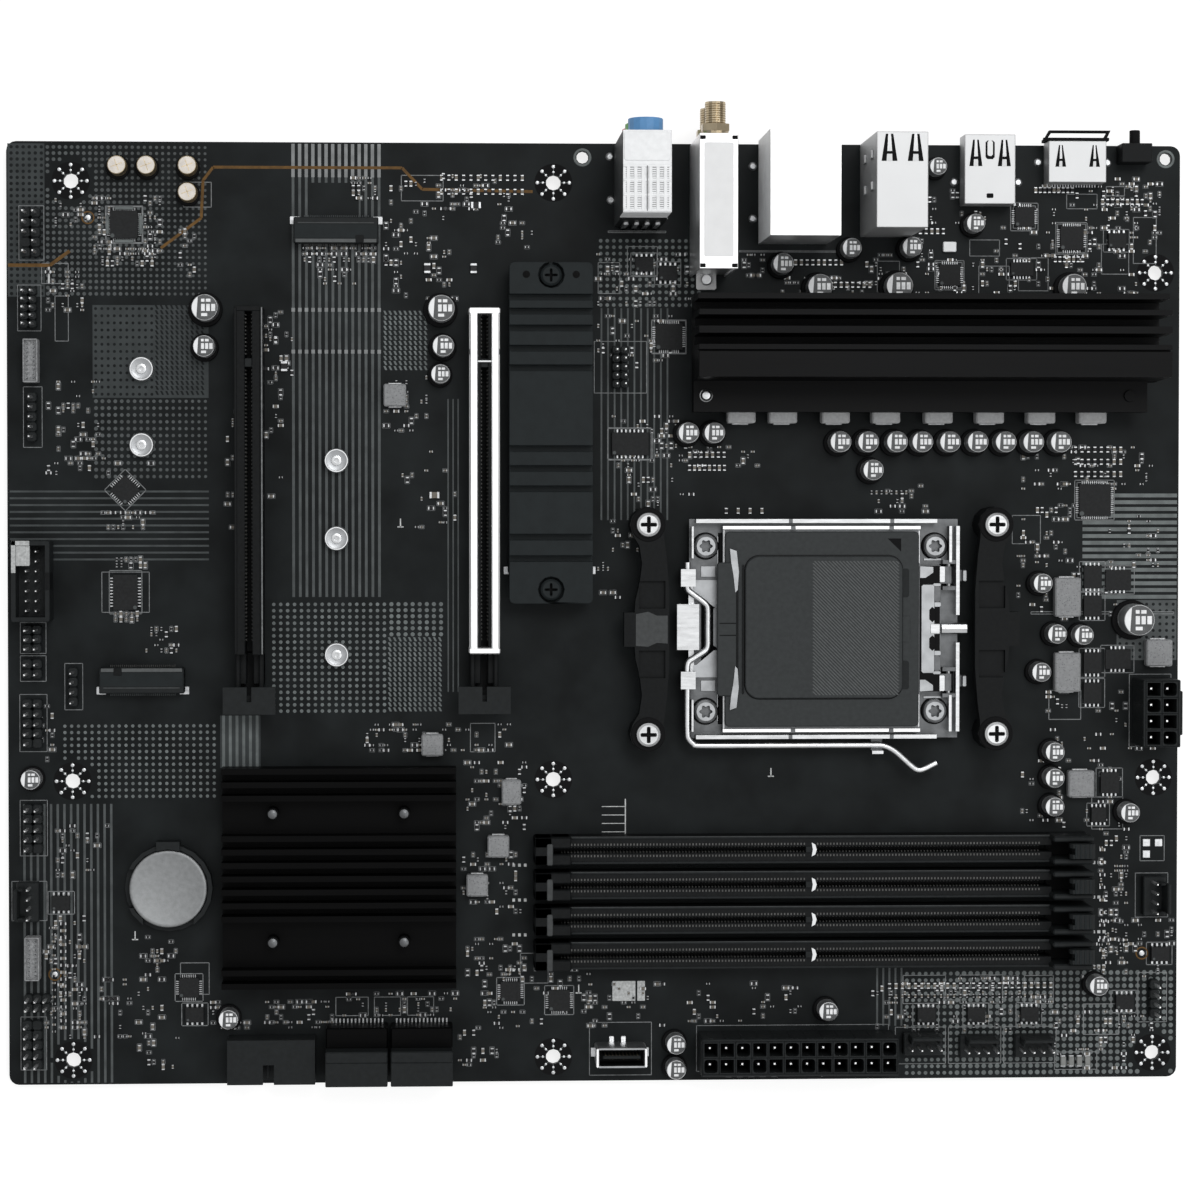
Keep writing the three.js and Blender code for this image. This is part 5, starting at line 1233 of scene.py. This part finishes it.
# solder side: cut leads under the larger through-hole parts
tails = Piece("solder_side_tails")
tail = [(0, 0), (0.4, 0.15), (0.9, 0.4), (2.15, 0.45)]
for x0, x1, d0, d1 in (
    (58, 67, 62, 128), (118, 127, 62, 128), (139, 268, 182, 184), (139, 268, 209, 211), (182, 226, 233, 238),
    (296, 299, 141, 154), (60, 76, 233, 237), (86, 110, 231, 235), (161, 167, 7, 19), (197, 209, 7, 23),
    (223, 231, 7, 21), (271, 281, 4, 8), (5, 8, 105, 121), (5, 8, 19, 29), (5, 8, 172, 182),
):
    nx, nd = (max(2, int(span / 2.5) + 1) for span in (x1 - x0, d1 - d0))
    for i in range(nx):
        for k in range(nd):
            tails.at(x0 + (x1 - x0) * i / (nx - 1), d0 + (d1 - d0) * k / (nd - 1), -THICK)
            tails.loft(ring(0.75, 10), tail, SOLDER, "down", ends=TOPPED)
tails.done(slot="tin")

# ---------------------------------------------------------------- studio
paper = bpy.data.materials.new("floor_paper")
paper.use_nodes = True
for socket, value in (("Base Color", (0.30, 0.30, 0.30, 1)), ("Roughness", 0.9), ("Specular IOR Level", 0.1),
                      ("Emission Color", (1, 1, 1, 1)), ("Emission Strength", 0.78)):
    paper.node_tree.nodes["Principled BSDF"].inputs[socket].default_value = value
bpy.ops.mesh.primitive_plane_add(size=6.0, location=(0, 0, -0.0005))
floor = bpy.context.object
floor.name = "studio_floor"
floor.data.materials.append(paper)

world = bpy.data.worlds.new("studio")
bpy.context.scene.world = world
world.use_nodes = True
sky, wires = world.node_tree.nodes, world.node_tree.links
where = sky.new("ShaderNodeTexCoord")
split = sky.new("ShaderNodeSeparateXYZ")
fade = sky.new("ShaderNodeValToRGB")
for stop, place, grey in zip(fade.color_ramp.elements, (0.1, 0.85), (0.16, 1.0)):
    stop.position, stop.color = place, (grey, grey, grey, 1)
wires.new(where.outputs["Generated"], split.inputs["Vector"])
wires.new(split.outputs["Z"], fade.inputs["Fac"])
wires.new(fade.outputs["Color"], sky["Background"].inputs["Color"])
sky["Background"].inputs["Strength"].default_value = 0.95


def lamp(name, where, size, power):
    """Round soft light over the board, aimed at its middle."""
    data = bpy.data.lights.new(name, "AREA")
    data.shape = "DISK"
    data.size, data.energy = size, power
    obj = bpy.data.objects.new(name, data)
    obj.location = where
    obj.rotation_euler = (-Vector(where)).to_track_quat("-Z", "Y").to_euler()
    bpy.context.scene.collection.objects.link(obj)
    return obj


lamps = [lamp("key_light", (0.3, 0.7, 1.5), 0.7, 9.5), lamp("fill_light", (0.9, -0.4, 1.3), 1.2, 4)]

# the photograph's camera: almost straight down, from left of the middle and behind it
eye = Vector((LEFT + 106.2 * MM, REAR - 92.0 * MM, TOP + 0.8))
aim = Vector((LEFT + 137.5 * MM, REAR - 109.0 * MM, TOP))
back = (eye - aim).normalized()
side = Vector((0, 1, 0)).cross(back).normalized()
view = bpy.data.cameras.new("view")
view.sensor_width, view.lens, view.shift_x, view.shift_y = 36.0, 92.47, 0.05, -0.03
cam = bpy.data.objects.new("view", view)
cam.matrix_world = Matrix.Translation(eye) @ Matrix((side, back.cross(side), back)).transposed().to_4x4()
bpy.context.scene.collection.objects.link(cam)
bpy.context.scene.camera = cam
bpy.context.scene.view_settings.view_transform = "Standard"
